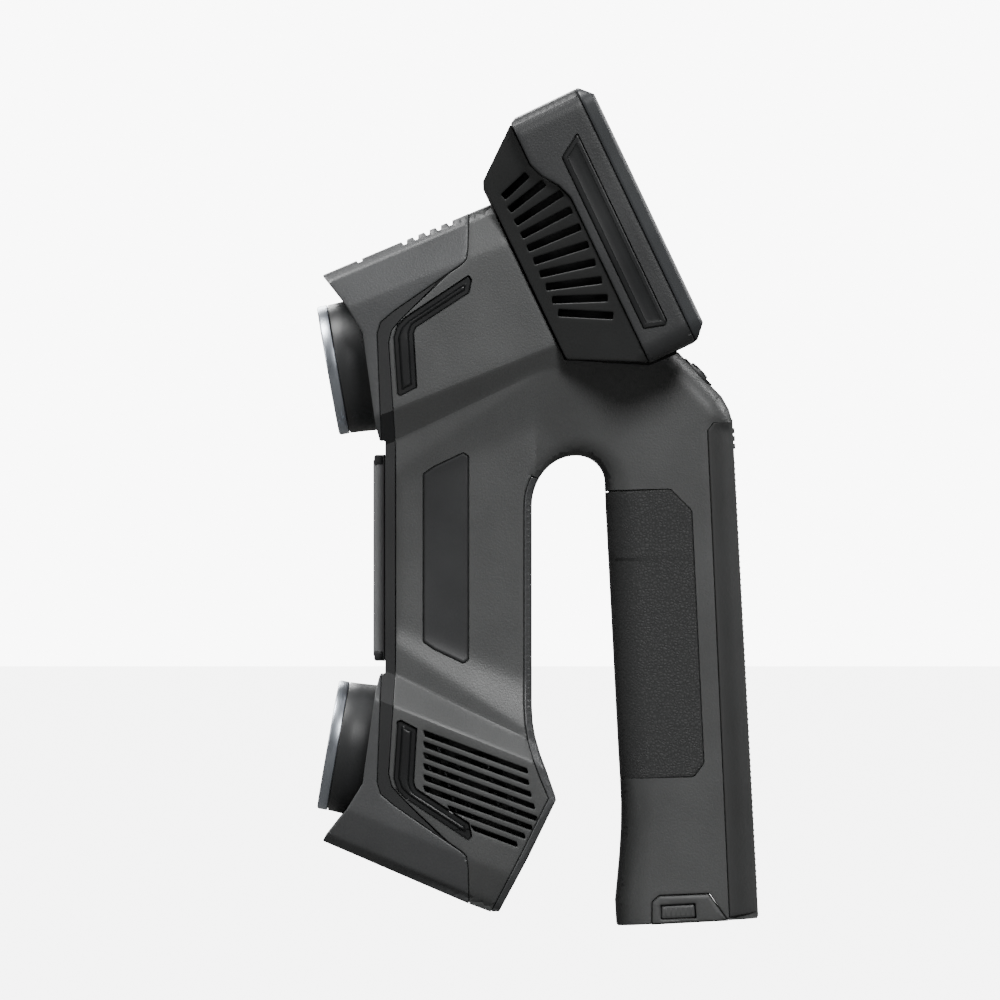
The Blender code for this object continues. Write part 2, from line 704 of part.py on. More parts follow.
# ---------------------------------------------------------------- battery and its cap
CAP_EDGE = [(46.9, -3.0), (47.0, 9.7), (50.0, 12.2), (70.1, 13.0), (78.6, -3.0)]
TAB_SIZE = (14.0, 2.4, 6.0)
TAB_LOW = 2.2
TAB_TRAVEL = 1.2
BATTERY_X = -2.2  # of the battery's axis, in the grip's frame
cap = cross(column(0.0), plate(CAP_EDGE, -80.0, 80.0))
cut(casing, plate(inset(CAP_EDGE, -GAP), -80.0, 80.0))
bay = rounded_box(BATTERY_SIZE[0] / 2 + 0.6, BATTERY_SIZE[1] / 2 + 0.6, 3.0)
bay_tool = plate([(x + BATTERY_X, y) for x, y in bay], -10.0, BATTERY_SIZE[2] + 16.0, "Z", GRIP)
cut(casing, bay_tool)
for label, sign in (("left", -1), ("right", 1)):
    outside = sign * GRIP_HALF
    spans = sorted((outside - sign * 0.4, outside - sign * (0.4 + TAB_SIZE[1])))
    room = sorted((outside + sign * 5.0, outside - sign * (0.4 + TAB_SIZE[1] + TAB_TRAVEL + 0.4)))
    low_x = BATTERY_X - 4.0 - TAB_SIZE[0] / 2
    tab = box((low_x, spans[0], TAB_LOW), (low_x + TAB_SIZE[0], spans[1], TAB_LOW + TAB_SIZE[2]), GRIP)
    finish(tab, f"latch_{label}", "shell_plastic")
    cut(
        cap,
        box(
            (low_x - GAP, room[0], TAB_LOW - GAP),
            (low_x + TAB_SIZE[0] + GAP, room[1], TAB_LOW + TAB_SIZE[2] + GAP),
            GRIP,
        ),
    )
finish(cap, "battery_cap", "shell_plastic")
cell = rounded_box(BATTERY_SIZE[0] / 2, BATTERY_SIZE[1] / 2, 3.0)
pack_low = 12.6
finish(
    plate([(x + BATTERY_X, y) for x, y in cell], pack_low, pack_low + BATTERY_SIZE[2], "Z", GRIP),
    "battery_pack",
    "battery_wrap",
)
contacts_low = pack_low + BATTERY_SIZE[2] + 1.0
finish(
    box((BATTERY_X - 11.0, -12.0, contacts_low), (BATTERY_X + 11.0, 12.0, contacts_low + 5.0), GRIP),
    "battery_contacts",
    "black_plastic",
)

# ---------------------------------------------------------------- keypad on the shoulder
PANEL = (7.7, 16.0, 2.2)  # half length down the slope, half width, thickness
PANEL_PROUD = 0.6
KEY_TRAVEL = 1.0
KEY_PROUD = 1.2  # above the panel
KEYS = (("up_button", -10.8, 2.9), ("scan_button", 0.0, 4.4), ("down_button", 10.8, 2.9))
PANEL_LOW = PANEL_PROUD - PANEL[2]
panel = plate(rounded_box(PANEL[0], PANEL[1], 2.5), PANEL_LOW, PANEL_PROUD, "Z", KEYPAD)
cut(casing, plate(rounded_box(PANEL[0] + GAP, PANEL[1] + GAP, 2.8), PANEL_LOW - GAP, 20.0, "Z", KEYPAD))
cut(casing, box((-6.2, -15.0, -14.0), (6.2, 15.0, 5.0), KEYPAD))
flange_top = PANEL_LOW - GAP
flange_low = flange_top - 1.0
for name, y, radius in KEYS:
    cut(panel, rod(radius + GAP, -10.0, 10.0, frame=KEYPAD, steps=24, centre=(0, y, 0)))
    profile = [
        (0.0, PANEL_PROUD + KEY_PROUD),
        (radius - 0.5, PANEL_PROUD + KEY_PROUD),
        (radius, PANEL_PROUD + KEY_PROUD - 0.5),
        (radius, flange_top),
        (radius + 1.0, flange_top),
        (radius + 1.0, flange_low),
        (0.0, flange_low),
    ]
    key = turned(profile, frame=KEYPAD, steps=24)
    key.location = (0.0, y * MM, 0.0)
    finish(key, name, "dark_plastic")
finish(panel, "keypad_frame", "dark_plastic")
board_top = flange_low - KEY_TRAVEL - 0.3
finish(
    box((-5.8, -14.6, board_top - 1.2), (5.8, 14.6, board_top), KEYPAD), "keypad_board", "circuit_board"
)

# ---------------------------------------------------------------- split casings
for label, low, high in (("left", -90.0, -GAP / 2), ("right", GAP / 2, 90.0)):
    half = cross(copy_of(casing), box((-150.0, low, -30.0), (150.0, high, 400.0)))
    finish(half, f"shell_{label}", "shell_plastic")
bpy.data.objects.remove(casing, do_unlink=True)

# ---------------------------------------------------------------- lens units
GLASS_OUTER = LENS_RADIUS - 5.6
CAMERA_HALF = 12.5
CAMERA_FRONT = -33.0  # of the camera's body, behind the ring's face
for side in ("upper", "lower"):
    frame = LENS[side]
    rim = BARREL_FRONT + GAP
    ring_profile = [
        (GLASS_OUTER + GAP, 0.0),
        (LENS_RADIUS - 0.8, 0.0),
        (LENS_RADIUS, -0.8),
        (LENS_RADIUS, rim),
        (GLASS_OUTER + GAP, rim),
    ]
    finish(turned(ring_profile, frame, 48), f"lens_ring_{side}", "silver")
    barrel_profile = [
        (LENS_RADIUS - 0.2, BARREL_FRONT),
        (barrel_rear_radius, BARREL_REAR),
        (LENS_RADIUS - 8.8, BARREL_REAR),
        (LENS_RADIUS - 8.8, BARREL_REAR + 2.0),
        (LENS_RADIUS - 2.8, BARREL_REAR + 2.0),
        (LENS_RADIUS - 2.8, BARREL_FRONT - 2.5),
        (GLASS_OUTER, BARREL_FRONT - 1.5),
        (GLASS_OUTER, BARREL_FRONT),
    ]
    finish(turned(barrel_profile, frame, 48), f"lens_barrel_{side}", "black_plastic")
    finish(tube(GLASS_OUTER, 9.6, -3.8, -2.4, frame=frame, steps=40), f"ring_glass_{side}", "glass")
    finish(tube(22.5, 10.5, -10.2, -8.6, frame=frame), f"led_board_{side}", "circuit_board")
    camera = box((-CAMERA_HALF, -CAMERA_HALF, -58.0), (CAMERA_HALF, CAMERA_HALF, CAMERA_FRONT), frame)
    join(camera, rod(9.2, CAMERA_FRONT - 0.5, -2.8, frame=frame))
    finish(camera, f"camera_{side}", "black_plastic")

bar = box((-54.0, -10.0, LOWER_LENS_Z + 8.0), (-49.0, 10.0, UPPER_LENS_Z - 8.0))
for side, inwards in (("upper", -1.0), ("lower", 1.0)):
    span = sorted((inwards * (CAMERA_HALF + GAP), inwards * (CAMERA_HALF + 3.4)))
    join(bar, box((span[0], -12.0, -56.0), (span[1], 12.0, -32.0), LENS[side]))
finish(bar, "camera_bar", "aluminium")

# ---------------------------------------------------------------- projector block
BLOCK_HALF = 24.0
BLOCK_HEIGHT = 42.3
BLOCK_CHAMFER = 2.4
BLOCK_FRONT = FRONT_X - 9.3
block_back = FRONT_X - COVER_THICK - GAP
block_outline = [
    (block_back, MIDDLE_Z - BLOCK_HEIGHT),
    (BLOCK_FRONT, MIDDLE_Z - BLOCK_HEIGHT + BLOCK_CHAMFER),
    (BLOCK_FRONT, MIDDLE_Z + BLOCK_HEIGHT - BLOCK_CHAMFER),
    (block_back, MIDDLE_Z + BLOCK_HEIGHT),
]
block = plate(block_outline, -BLOCK_HALF, BLOCK_HALF)
room = [WINDOW_HALF[0] + 3.0, WINDOW_HALF[1] + 1.0]
cut(
    block,
    box(
        (-90.0, -WINDOW_HALF[0], MIDDLE_Z - WINDOW_HALF[1]),
        (-50.0, WINDOW_HALF[0], MIDDLE_Z + WINDOW_HALF[1]),
    ),
    box(
        (-90.0, -room[0] - GAP, MIDDLE_Z - room[1] - GAP),
        (BLOCK_FRONT + 2.2, room[0] + GAP, MIDDLE_Z + room[1] + GAP),
    ),
)
finish(block, "projector_bezel", "shell_plastic")
finish(
    box(
        (BLOCK_FRONT + 0.5, -room[0], MIDDLE_Z - room[1]),
        (BLOCK_FRONT + 1.9, room[0], MIDDLE_Z + room[1]),
    ),
    "projector_window",
    "glass",
)


def looking_forward(radius, z):
    """A round module behind the window, in front of the camera bar."""
    solid = rod(radius, 54.0 + GAP, -BLOCK_FRONT - 2.4, frame=BODY)
    solid.data.transform(Matrix.Rotation(-math.pi / 2, 4, "Y"))
    solid.data.transform(Matrix.Translation((0, 0, z * MM)))
    return solid


MODULE_STEP = 23.0
finish(looking_forward(7.5, MIDDLE_Z + MODULE_STEP), "laser_module_upper", "aluminium")
finish(looking_forward(7.5, MIDDLE_Z - MODULE_STEP), "laser_module_lower", "aluminium")
finish(looking_forward(10.0, MIDDLE_Z), "texture_camera", "black_plastic")

# ---------------------------------------------------------------- display head
half = HEAD_LENGTH / 2
FRAME_BACK = -20.7
FRAME_WALL = 3.0
CORNER = 8.0


def head_section(drawn_in, low, high):
    """The head's rounded rectangle seen along the screen's outward direction."""
    return plate(
        rounded_box(half - drawn_in, HEAD_HALF - drawn_in, max(CORNER - drawn_in, 2.0)), low, high, "Z", HEAD
    )


frame_side = [
    (half + 1, -GAP),
    (half + 1, FRAME_BACK),
    (-18.0, FRAME_BACK),
    (-24.0, FRAME_BACK - 2.2),
    (-30.0, FRAME_BACK - 6.8),
    (-36.0, FRAME_BACK - 9.0),
    (-half - 1, FRAME_BACK - 9.3),
    (-half - 1, -GAP),
]
top_slope = [(-54.9, -30.6), (-half, -27.0), (-half - 5, -27.0), (-half - 5, -40.0)]
head_frame = cross(head_section(0.0, -40.0, 5.0), plate(frame_side, -80.0, 80.0, "Y", HEAD))
cut(head_frame, head_section(FRAME_WALL, -60.0, 20.0), plate(top_slope, -80.0, 80.0, "Y", HEAD))

TRIM_HEAD = [(46.0, -8.5), (43.5, -17.3), (-34.0, -17.3), (-40.5, -7.0), (44.0, -7.0)]
trim_low = HEAD_HALF - 0.2 - SKIN
for label, sign in (("left", -1), ("right", 1)):
    span = sorted((sign * trim_low, sign * (HEAD_HALF - 0.2)))
    room = sorted((sign * (trim_low - GAP), sign * (HEAD_HALF + 5.0)))
    finish(plate(TRIM_HEAD, *span, "Y", HEAD), f"head_trim_{label}", "dark_plastic")
    cut(head_frame, plate(inset(TRIM_HEAD, -GAP), *room, "Y", HEAD))
finish(head_frame, "head_frame", "shell_plastic")

REAR_HALF = 46.0  # half width of the head where it meets the body


def head_taper(depth):
    """The tapered housing behind the frame, drawn in by a depth."""
    points = [
        (half - 0.3 - depth, HEAD_HALF - 1.0 - depth, FRAME_BACK + 2.0),
        (-54.9 + depth, HEAD_HALF - 1.0 - depth, FRAME_BACK + 2.0),
        (-54.9 + depth, HEAD_HALF - 6.0 - depth, -29.5 + depth),
        (-38.7 + depth, REAR_HALF - depth, -50.6 + depth),
        (40.5 - depth, REAR_HALF - depth, -50.6 + depth),
    ]
    return hull([(x, y * s, z) for x, y, z in points for s in (1, -1)], HEAD)


# Screws square to the sloping walls, their seats in short bosses inside: place and lean of each.
SCREWS = (("upper", -51.35, -32.65, 232.5), ("lower", 50.03, -29.6, 116.6))
SCREW_Y = 53.0
BOSS_RADIUS = 3.6


def screw_seat(x, z, lean, sign):
    """The place of a screw's top face in the head, and the way it points."""
    place = Matrix.Translation((x * MM, sign * SCREW_Y * MM, z * MM))
    return place @ Matrix.Rotation(math.radians(lean), 4, "Y")


rear_housing = head_taper(0.0)
cut(rear_housing, head_taper(2.6))
for label, x, z, lean in SCREWS:
    for sign in (-1, 1):
        boss = rod(BOSS_RADIUS, -5.5, -0.3, frame=HEAD, steps=20)
        boss.matrix_basis = screw_seat(x, z, lean, sign)
        join(rear_housing, boss)
cut(rear_housing, plate(inset(frame_side, -GAP), -80.0, 80.0, "Y", HEAD))
cut(rear_housing, box((-30.0, -30.0, -60.0), (32.0, 30.0, -44.0), HEAD))

LOUVRE_COUNT = 10
LOUVRE_PITCH = 5.8
LOUVRE_WIDTH = 2.9
for index in range(LOUVRE_COUNT):
    start = -29.8 + LOUVRE_PITCH * index
    fan = math.radians(17.0 - 46.0 * index / (LOUVRE_COUNT - 1))
    length = 26.0 if index > 1 else 16.0 + 5.0 * index
    direction = Vector((-math.sin(fan), math.cos(fan)))
    across = Vector((direction.y, -direction.x)) * LOUVRE_WIDTH / 2
    low = Vector((start, -45.5))
    high = low + direction * length
    slot = [tuple(low - across), tuple(low + across), tuple(high + across), tuple(high - across)]
    cut(rear_housing, plate(slot, -80.0, 80.0, "Y", HEAD))

for label, x, z, lean in SCREWS:
    for hand, sign in (("left", -1), ("right", 1)):
        seat = screw_seat(x, z, lean, sign)
        screw = turned(
            [(0.0, 0.0), (SCREW_RADIUS, 0.0), (SCREW_RADIUS, -1.6), (1.5, -1.6), (1.5, -5.0), (0.0, -5.0)],
            HEAD,
            20,
        )
        screw.matrix_basis = seat
        hole = rod(SCREW_RADIUS + GAP, -1.6 - GAP, 12.0, frame=HEAD, steps=20)
        shank = rod(1.5 + GAP, -12.0, 0.0, frame=HEAD, steps=16)
        hole.matrix_basis = seat
        shank.matrix_basis = seat
        finish(screw, f"head_screw_{label}_{hand}", "aluminium")
        cut(rear_housing, hole, shank)
finish(rear_housing, "head_front_housing", "black_plastic")

# Bezel ring with long chamfers at its ends, glass, panel and board.
bezel_outline = [
    (half, 0.0),
    (half, 0.8),
    (half - 5.6, BEZEL_THICK),
    (5.6 - half, BEZEL_THICK),
    (-half, 0.8),
    (-half, 0.0),
]
SCREEN = (46.0, 58.5)
bezel = cross(head_section(0.0, -1.0, 10.0), plate(bezel_outline, -80.0, 80.0, "Y", HEAD))
cut(bezel, plate(rounded_box(SCREEN[0] - 2.0, SCREEN[1] - 2.0, 3.0), -5.0, 20.0, "Z", HEAD))
glass_low = BEZEL_THICK - 1.7
cut(bezel, plate(rounded_box(SCREEN[0] + GAP, SCREEN[1] + GAP, 4.3), glass_low - GAP, 20.0, "Z", HEAD))
finish(bezel, "head_bezel", "dark_plastic")
finish(plate(rounded_box(*SCREEN, 4.0), glass_low, BEZEL_THICK - 0.3, "Z", HEAD), "display_glass", "glass")
panel_half = (SCREEN[0] - 2.0 - GAP, SCREEN[1] - 2.0 - GAP)
panel = plate(rounded_box(*panel_half, 2.7), 0.6, glass_low - GAP, "Z", HEAD)
finish(panel, "display_panel", "black_plastic")
finish(box((-38.0, -48.0, -8.0), (38.0, 48.0, -6.4), HEAD), "display_board", "circuit_board")

# ---------------------------------------------------------------- cooling
sink = box((-22.0, -32.0, -20.0), (22.0, 32.0, -17.0), HEAD)
FIN_COUNT = 13
for index in range(FIN_COUNT):
    y = -30.0 + 60.0 * index / (FIN_COUNT - 1)
    join(sink, box((-22.0, y - 0.7, -32.0), (22.0, y + 0.7, -17.5), HEAD))
finish(sink, "heatsink", "aluminium")


def fan(name, frame, half_size, thick, blades=7):
    """A square fan frame and its turning wheel, whose axis is the frame's local Z."""
    depth = thick / 2
    casing_ring = plate(rounded_box(half_size, half_size, 3.0), -depth, depth, "Z", frame)
    bore = half_size - 2.0
    cut(casing_ring, rod(bore, -thick, thick, frame=frame, steps=32))
    for turn in (0.0, math.pi / 2):
        strut = box((-bore - 1.0, -1.2, -depth), (bore + 1.0, 1.2, -depth + 1.4), frame)
        strut.data.transform(Matrix.Rotation(turn, 4, "Z"))
        join(casing_ring, strut)
    finish(casing_ring, f"{name}_frame", "black_plastic")
    low = -depth + 1.4 + 0.8
    wheel = rod(half_size * 0.42, low, depth - 0.3, frame=frame, steps=24)
    for index in range(blades):
        blade = box((half_size * 0.3, -0.7, low + 0.4), (bore - 0.8, 0.7, depth - 0.8), frame)
        blade.data.transform(Matrix.Rotation(math.radians(28.0), 4, "X"))
        blade.data.transform(Matrix.Rotation(2 * math.pi * index / blades, 4, "Z"))
        slice_off(blade, Vector((0, 0, low * MM)), Vector((0, 0, -1)))
        slice_off(blade, Vector((0, 0, (depth - 0.3) * MM)), Vector((0, 0, 1)))
        join(wheel, blade)
    finish(wheel, f"{name}_impeller", "black_plastic")


head_fan_axis = bpy.data.objects.new("head_fan_axis", None)
PIECES.objects.link(head_fan_axis)
head_fan_axis.parent = HEAD
head_fan_axis.location = (0.0, 0.0, -38.0 * MM)
fan("head_fan", head_fan_axis, 22.0, 9.0)

body_fan_axis = bpy.data.objects.new("body_fan_axis", None)
PIECES.objects.link(body_fan_axis)
body_fan_axis.parent = BODY
body_fan_axis.location = (-26.0 * MM, (6.5 - HOUSING_HALF + WALL) * MM, (LOWER_LENS_Z - 16.0) * MM)
body_fan_axis.rotation_euler = (math.pi / 2, math.radians(20.4), 0.0)
fan("body_fan", body_fan_axis, 16.0, 9.0)

# ---------------------------------------------------------------- circuit boards
finish(
    box((-45.0, 15.0, MIDDLE_Z - 46.0), (-9.0, 16.6, MIDDLE_Z + 46.0)), "main_board", "circuit_board"
)
finish(
    box((-40.0, 20.0, LOWER_LENS_Z - 36.0), (-10.0, 21.6, LOWER_LENS_Z + 6.0)),
    "power_board",
    "circuit_board",
)

# ---------------------------------------------------------------- origin at the bottom centre
for spare in (outer, inner):
    bpy.data.objects.remove(spare, do_unlink=True)
bpy.context.view_layer.update()
corners = [
    obj.matrix_world @ vert.co for obj in PIECES.objects if obj.type == "MESH" for vert in obj.data.vertices
]
lowest = Vector(min(corner[i] for corner in corners) for i in range(3))
highest = Vector(max(corner[i] for corner in corners) for i in range(3))
BODY.location -= Vector(((lowest.x + highest.x) / 2, 0.0, lowest.z))
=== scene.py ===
"""Looks of the handheld 3-D scanner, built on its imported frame. Sizes in the sections are millimetres."""

import math

import bmesh
import bpy
import numpy as np
from mathutils import Matrix, Vector
from mathutils.geometry import delaunay_2d_cdt


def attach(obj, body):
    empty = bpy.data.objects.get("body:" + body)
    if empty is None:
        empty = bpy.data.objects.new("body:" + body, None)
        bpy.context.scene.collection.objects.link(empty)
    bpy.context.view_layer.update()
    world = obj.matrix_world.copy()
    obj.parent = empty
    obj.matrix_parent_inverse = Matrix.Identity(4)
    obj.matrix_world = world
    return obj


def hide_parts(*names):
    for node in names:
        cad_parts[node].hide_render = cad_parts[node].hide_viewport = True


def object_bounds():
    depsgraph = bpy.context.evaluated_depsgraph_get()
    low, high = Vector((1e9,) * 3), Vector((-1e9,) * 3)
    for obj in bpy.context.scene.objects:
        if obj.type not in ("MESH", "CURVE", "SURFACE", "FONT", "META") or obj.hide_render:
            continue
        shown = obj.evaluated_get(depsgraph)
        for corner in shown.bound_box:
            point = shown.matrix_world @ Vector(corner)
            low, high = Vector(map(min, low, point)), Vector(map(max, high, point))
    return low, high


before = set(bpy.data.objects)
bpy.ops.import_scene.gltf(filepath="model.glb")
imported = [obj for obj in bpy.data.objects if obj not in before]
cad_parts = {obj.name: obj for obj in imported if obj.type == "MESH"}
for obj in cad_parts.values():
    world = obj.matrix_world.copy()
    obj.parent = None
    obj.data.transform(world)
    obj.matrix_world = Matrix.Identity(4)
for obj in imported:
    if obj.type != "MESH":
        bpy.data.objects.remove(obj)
cad_box = [list(corner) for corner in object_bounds()]

# ------------------------------------------------------------------ floor, light and camera
# A paper floor that the scanner stands on, a soft box in front of it and one over it, and three
# weaker ones: before the lenses, behind the grip, and on the far side.


def linear(code):
    """An sRGB hex colour as linear light."""
    channels = [int(code[i : i + 2], 16) / 255 for i in (0, 2, 4)]
    return [c / 12.92 if c <= 0.04045 else ((c + 0.055) / 1.055) ** 2.4 for c in channels]


def add_node(tree, kind, settings=(), inputs=(), links=()):
    """A node with its settings, its input values and the sockets that feed it."""
    node = tree.nodes.new(kind)
    for name, value in dict(settings).items():
        setattr(node, name, value)
    for name, value in dict(inputs).items():
        node.inputs[name].default_value = value
    for name, source in dict(links).items():
        tree.links.new(source, node.inputs[name])
    return node


floor_mesh = bpy.data.meshes.new("paper_floor")
floor_mesh.from_pydata([(-6, -4, 0), (6, -4, 0), (6, 8, 0), (-6, 8, 0)], [], [(0, 1, 2, 3)])
floor = bpy.data.objects.new("paper_floor", floor_mesh)
floor.location.z = cad_box[0][2] - 0.0002
bpy.context.scene.collection.objects.link(floor)
# To the camera the paper glows, so that it reads as white without lighting the scanner from below.
PAPER_GLOW, GLOW_SHARE = 8.0, 0.8
BACKDROP_GLOW, ROOM_LIGHT = 9.0, 0.045
paper = bpy.data.materials.new("seamless paper")
paper.use_nodes = True
tree = paper.node_tree
base = tree.nodes["Principled BSDF"]
base.inputs["Base Color"].default_value = (*linear("5A5A59"), 1)
base.inputs["Roughness"].default_value = 0.9
glow = add_node(tree, "ShaderNodeEmission", (), {"Color": (1, 1, 1, 1), "Strength": PAPER_GLOW})
seen = add_node(tree, "ShaderNodeLightPath").outputs["Is Camera Ray"]
share = add_node(tree, "ShaderNodeMath", {"operation": "MULTIPLY"}, {1: GLOW_SHARE}, {0: seen})
lit = add_node(
    tree,
    "ShaderNodeMixShader",
    (),
    (),
    {"Fac": share.outputs["Value"], 1: base.outputs["BSDF"], 2: glow.outputs["Emission"]},
)
tree.links.new(lit.outputs["Shader"], tree.nodes["Material Output"].inputs["Surface"])
floor_mesh.materials.append(paper)

world = bpy.data.worlds.new("white room")
bpy.context.scene.world = world
world.use_nodes = True
tree = world.node_tree
room = tree.nodes["Background"]
room.inputs["Color"].default_value = (1, 1, 1, 1)
room.inputs["Strength"].default_value = ROOM_LIGHT
backdrop = add_node(
    tree, "ShaderNodeBackground", (), {"Color": (1, 1, 1, 1), "Strength": BACKDROP_GLOW}
)
seen = add_node(tree, "ShaderNodeLightPath").outputs["Is Camera Ray"]
either = add_node(
    tree,
    "ShaderNodeMixShader",
    (),
    (),
    {"Fac": seen, 1: room.outputs["Background"], 2: backdrop.outputs["Background"]},
)
tree.links.new(either.outputs["Shader"], tree.nodes["World Output"].inputs["Surface"])

AIM = Vector((0.0, 0.0, 0.17))
SOFT_BOXES = [
    # name, place in metres, width, height, power in watts
    ("key", (0.5, -2.0, 1.45), 0.6, 0.6, 54.0),
    ("top", (-1.1, -0.25, 1.9), 0.6, 0.6, 44.0),
    ("front", (-2.0, -1.1, 0.9), 0.4, 0.9, 8.0),
    ("rim", (1.5, 0.3, 1.1), 0.4, 0.9, 18.0),
    ("back", (-0.6, 2.1, 1.3), 0.8, 0.8, 34.0),
]
for name, place, wide, tall, power in SOFT_BOXES:
    lamp = bpy.data.lights.new(name, "AREA")
    lamp.shape = "RECTANGLE"
    lamp.size = wide
    lamp.size_y = tall
    lamp.energy = power
    box = bpy.data.objects.new(name, lamp)
    box.location = place
    box.rotation_euler = (AIM - Vector(place)).to_track_quat("-Z", "Y").to_euler()
    bpy.context.scene.collection.objects.link(box)

camera_data = bpy.data.cameras.new("camera")
camera_data.lens = 450.0
camera_data.sensor_width = 36.0
camera_data.clip_end = 20.0
camera = bpy.data.objects.new("camera", camera_data)
camera.location = (-0.0155, -5.145, 0.1747)
camera.rotation_euler = (math.pi / 2, 0, 0)
bpy.context.scene.collection.objects.link(camera)
bpy.context.scene.camera = camera

# ------------------------------------------------------------------ half casings
# Two injection-moulded halves in glass-filled nylon, spark-eroded texture, screwed together
# along the middle. Each is one hollow moulding: lens housings, body, arch and grip.

MM = 0.001
UPPER, LOWER, MIDDLE = 227.6, 74.0, 150.8  # heights of the lenses and of the body's middle
ORIGIN = (-0.049, 0.201)  # of the frame's axes, from those that the outlines below use
WALL = 3.0
HOUSING_HALF = 43.0
GRIP_HALF = 21.0
GRIP_ROUND = 13.0
SEAM = 0.15  # half the gap between the two halves


def soft_min(a, b, blend):
    return 0.5 * (a + b - np.sqrt((a - b) ** 2 + blend**2))


def soft_max(a, b, blend):
    return 0.5 * (a + b + np.sqrt((a - b) ** 2 + blend**2))


def fall(x, u, line, slope):
    """How far a facet has fallen beside a line, on the line's right as it runs."""
    (ax, au), (bx, bu) = line
    size = math.hypot(bx - ax, bu - au)
    away = ((x - ax) * (bu - au) - (u - au) * (bx - ax)) / size
    return slope * away


BELLY = ((-58.5, -16.2), (8.3, 10.5))
FLANK = ((-12.0, 52.4), (-78.0, 25.9))
ROOF = ((-19.4, 63.7), (-88.4, 34.8))
SHOULDER_CREASE = ((-26.5, -20.7), (11.6, 3.9))


def form(x, z):
    """Half width of the body at a point of the side view, before its outer edges are rounded."""
    upper = z > MIDDLE
    u = np.where(upper, z - UPPER, LOWER - z)
    hood = soft_min(HOUSING_HALF - fall(x, u, BELLY, 0.67), HOUSING_HALF, 0.35)
    hood = soft_min(hood, HOUSING_HALF - fall(x, u, FLANK, 0.302), 0.35)
    hood = soft_min(hood, 39.2 - fall(x, u, ROOF, 1.3), 0.6)
    front = 35.0 + 0.055 * (x + 58.0)
    along = (x + 26.5) * 0.84 + (u + 20.7) * 0.542
    side = 36.7 + 0.046 * along - fall(x, u, SHOULDER_CREASE, 0.25)
    neck = 41.6 - 0.406 * x + 0.267 * u
    side = np.where(upper, soft_min(side, neck, 3.0), side)
    rear = 33.3 - 0.5 * np.maximum(0.0, x + 1.0)
    core = soft_min(front, soft_max(side, rear, 0.9), 0.4)
    hilt = GRIP_HALF - 3.0 * np.maximum(0.0, 20.0 - x)
    core = np.where(upper | (x < 20.0), core, 0.0)
    core = soft_max(core, hilt, np.clip((x - 8.0) * 0.3, 0.0, 5.0))
    reach = np.where(x < 20.0, soft_max(hood, core, 0.3), core)
    return np.where(x > 12.0, core, reach)


def arc(centre, radii, start, end, steps):
    """Points on an ellipse's arc, from one angle to the other in degrees."""
    turns = [math.radians(start + (end - start) * i / steps) for i in range(steps + 1)]
    return [(centre[0] + radii[0] * math.cos(t), centre[1] + radii[1] * math.sin(t)) for t in turns]


def on_grip(x, z):
    """A point of the grip's own axes, which lean back by 3 degrees, in the side view."""
    return (63.9 + 0.99863 * x - 0.052336 * z, 1.45 + 0.052336 * x + 0.99863 * z)


ARCH = [
    *arc((16.0, 172.0), (18.4, 20.8), 180, 90, 14),
    *arc((16.0, 181.5), (11.7, 11.3), 90, 0, 10)[1:],
]
GRIP_FRONT = [
    on_grip(-26.95 - 4.6 * min(1, max(0, (50 - z) / 39)) ** 1.5, z) for z in range(170, -1, -10)
]
BODY_BACK = [(7.5, 51.9), (4.2, 61.4), (1.2, 69.4), (-0.8, 76.4), (-2.0, 83.4), (-2.4, 90.4)]
# Outer edge of the casings from the roof's rear end round to the keel, with its rounding radius.
SHOULDER = [(57.6, 235.3), (75.6, 217.0), (78.6, 211.6), (80.1, 206.4)]
EDGES = [
    *((a, 1.0) for a in ((-88.4, 266.4), (-19.4, 295.3))),
    *((a, 0.0) for a in ((-19.3, 295.3), (10.9, 232.0), (45.6, 230.1), (57.5, 235.3))),
    *((a, 9.0) for a in SHOULDER),
    *((a, GRIP_ROUND) for a in (on_grip(26.95, 200), on_grip(26.95, 60), on_grip(26.95, 0.6))),
    *((a, 0.8) for a in (on_grip(26.5, 0.0), on_grip(-31.0, 0.0))),
    *((a, GRIP_ROUND) for a in reversed(GRIP_FRONT)),
    *((a, 10.5 - 0.3 * i) for i, a in enumerate(reversed(ARCH))),
    *((a, 3.2) for a in reversed(BODY_BACK)),
    *((a, 2.2) for a in ((7.4, 51.8), (-15.6, 6.2), (-18.3, 5.2))),
    *((a, 1.0) for a in ((-18.4, 5.2), (-88.4, 35.2))),
]


def distance(x, z, starts, ends, radii=None):
    """Distance from each point to the nearest of some lines, or how far their rounding has fallen there."""
    best = np.full(x.shape, 0.0 if radii is not None else 1e9)
    for i, (a, b) in enumerate(zip(starts, ends)):
        run = b - a
        share = ((x - a[0]) * run[0] + (z - a[1]) * run[1]) / max(run @ run, 1e-12)
        share = np.clip(share, 0.0, 1.0)
        away = np.hypot(x - a[0] - share * run[0], z - a[1] - share * run[1])
        if radii is None:
            best = np.minimum(best, away)
            continue
        radius = radii[i] + share * (radii[(i + 1) % len(radii)] - radii[i])
        inside = np.clip(radius - away, 0.0, None)
        best = np.maximum(best, radius - np.sqrt(np.maximum(radius**2 - inside**2, 0.0)))
    return best


edge_points = np.array([point for point, _ in EDGES])
edge_radii = [radius for _, radius in EDGES]


def surface(x, z):
    """Half width of the finished body, with its outer edges rounded."""
    fallen = distance(x, z, edge_points, np.roll(edge_points, -1, 0), edge_radii)
    return form(x, z) - fallen


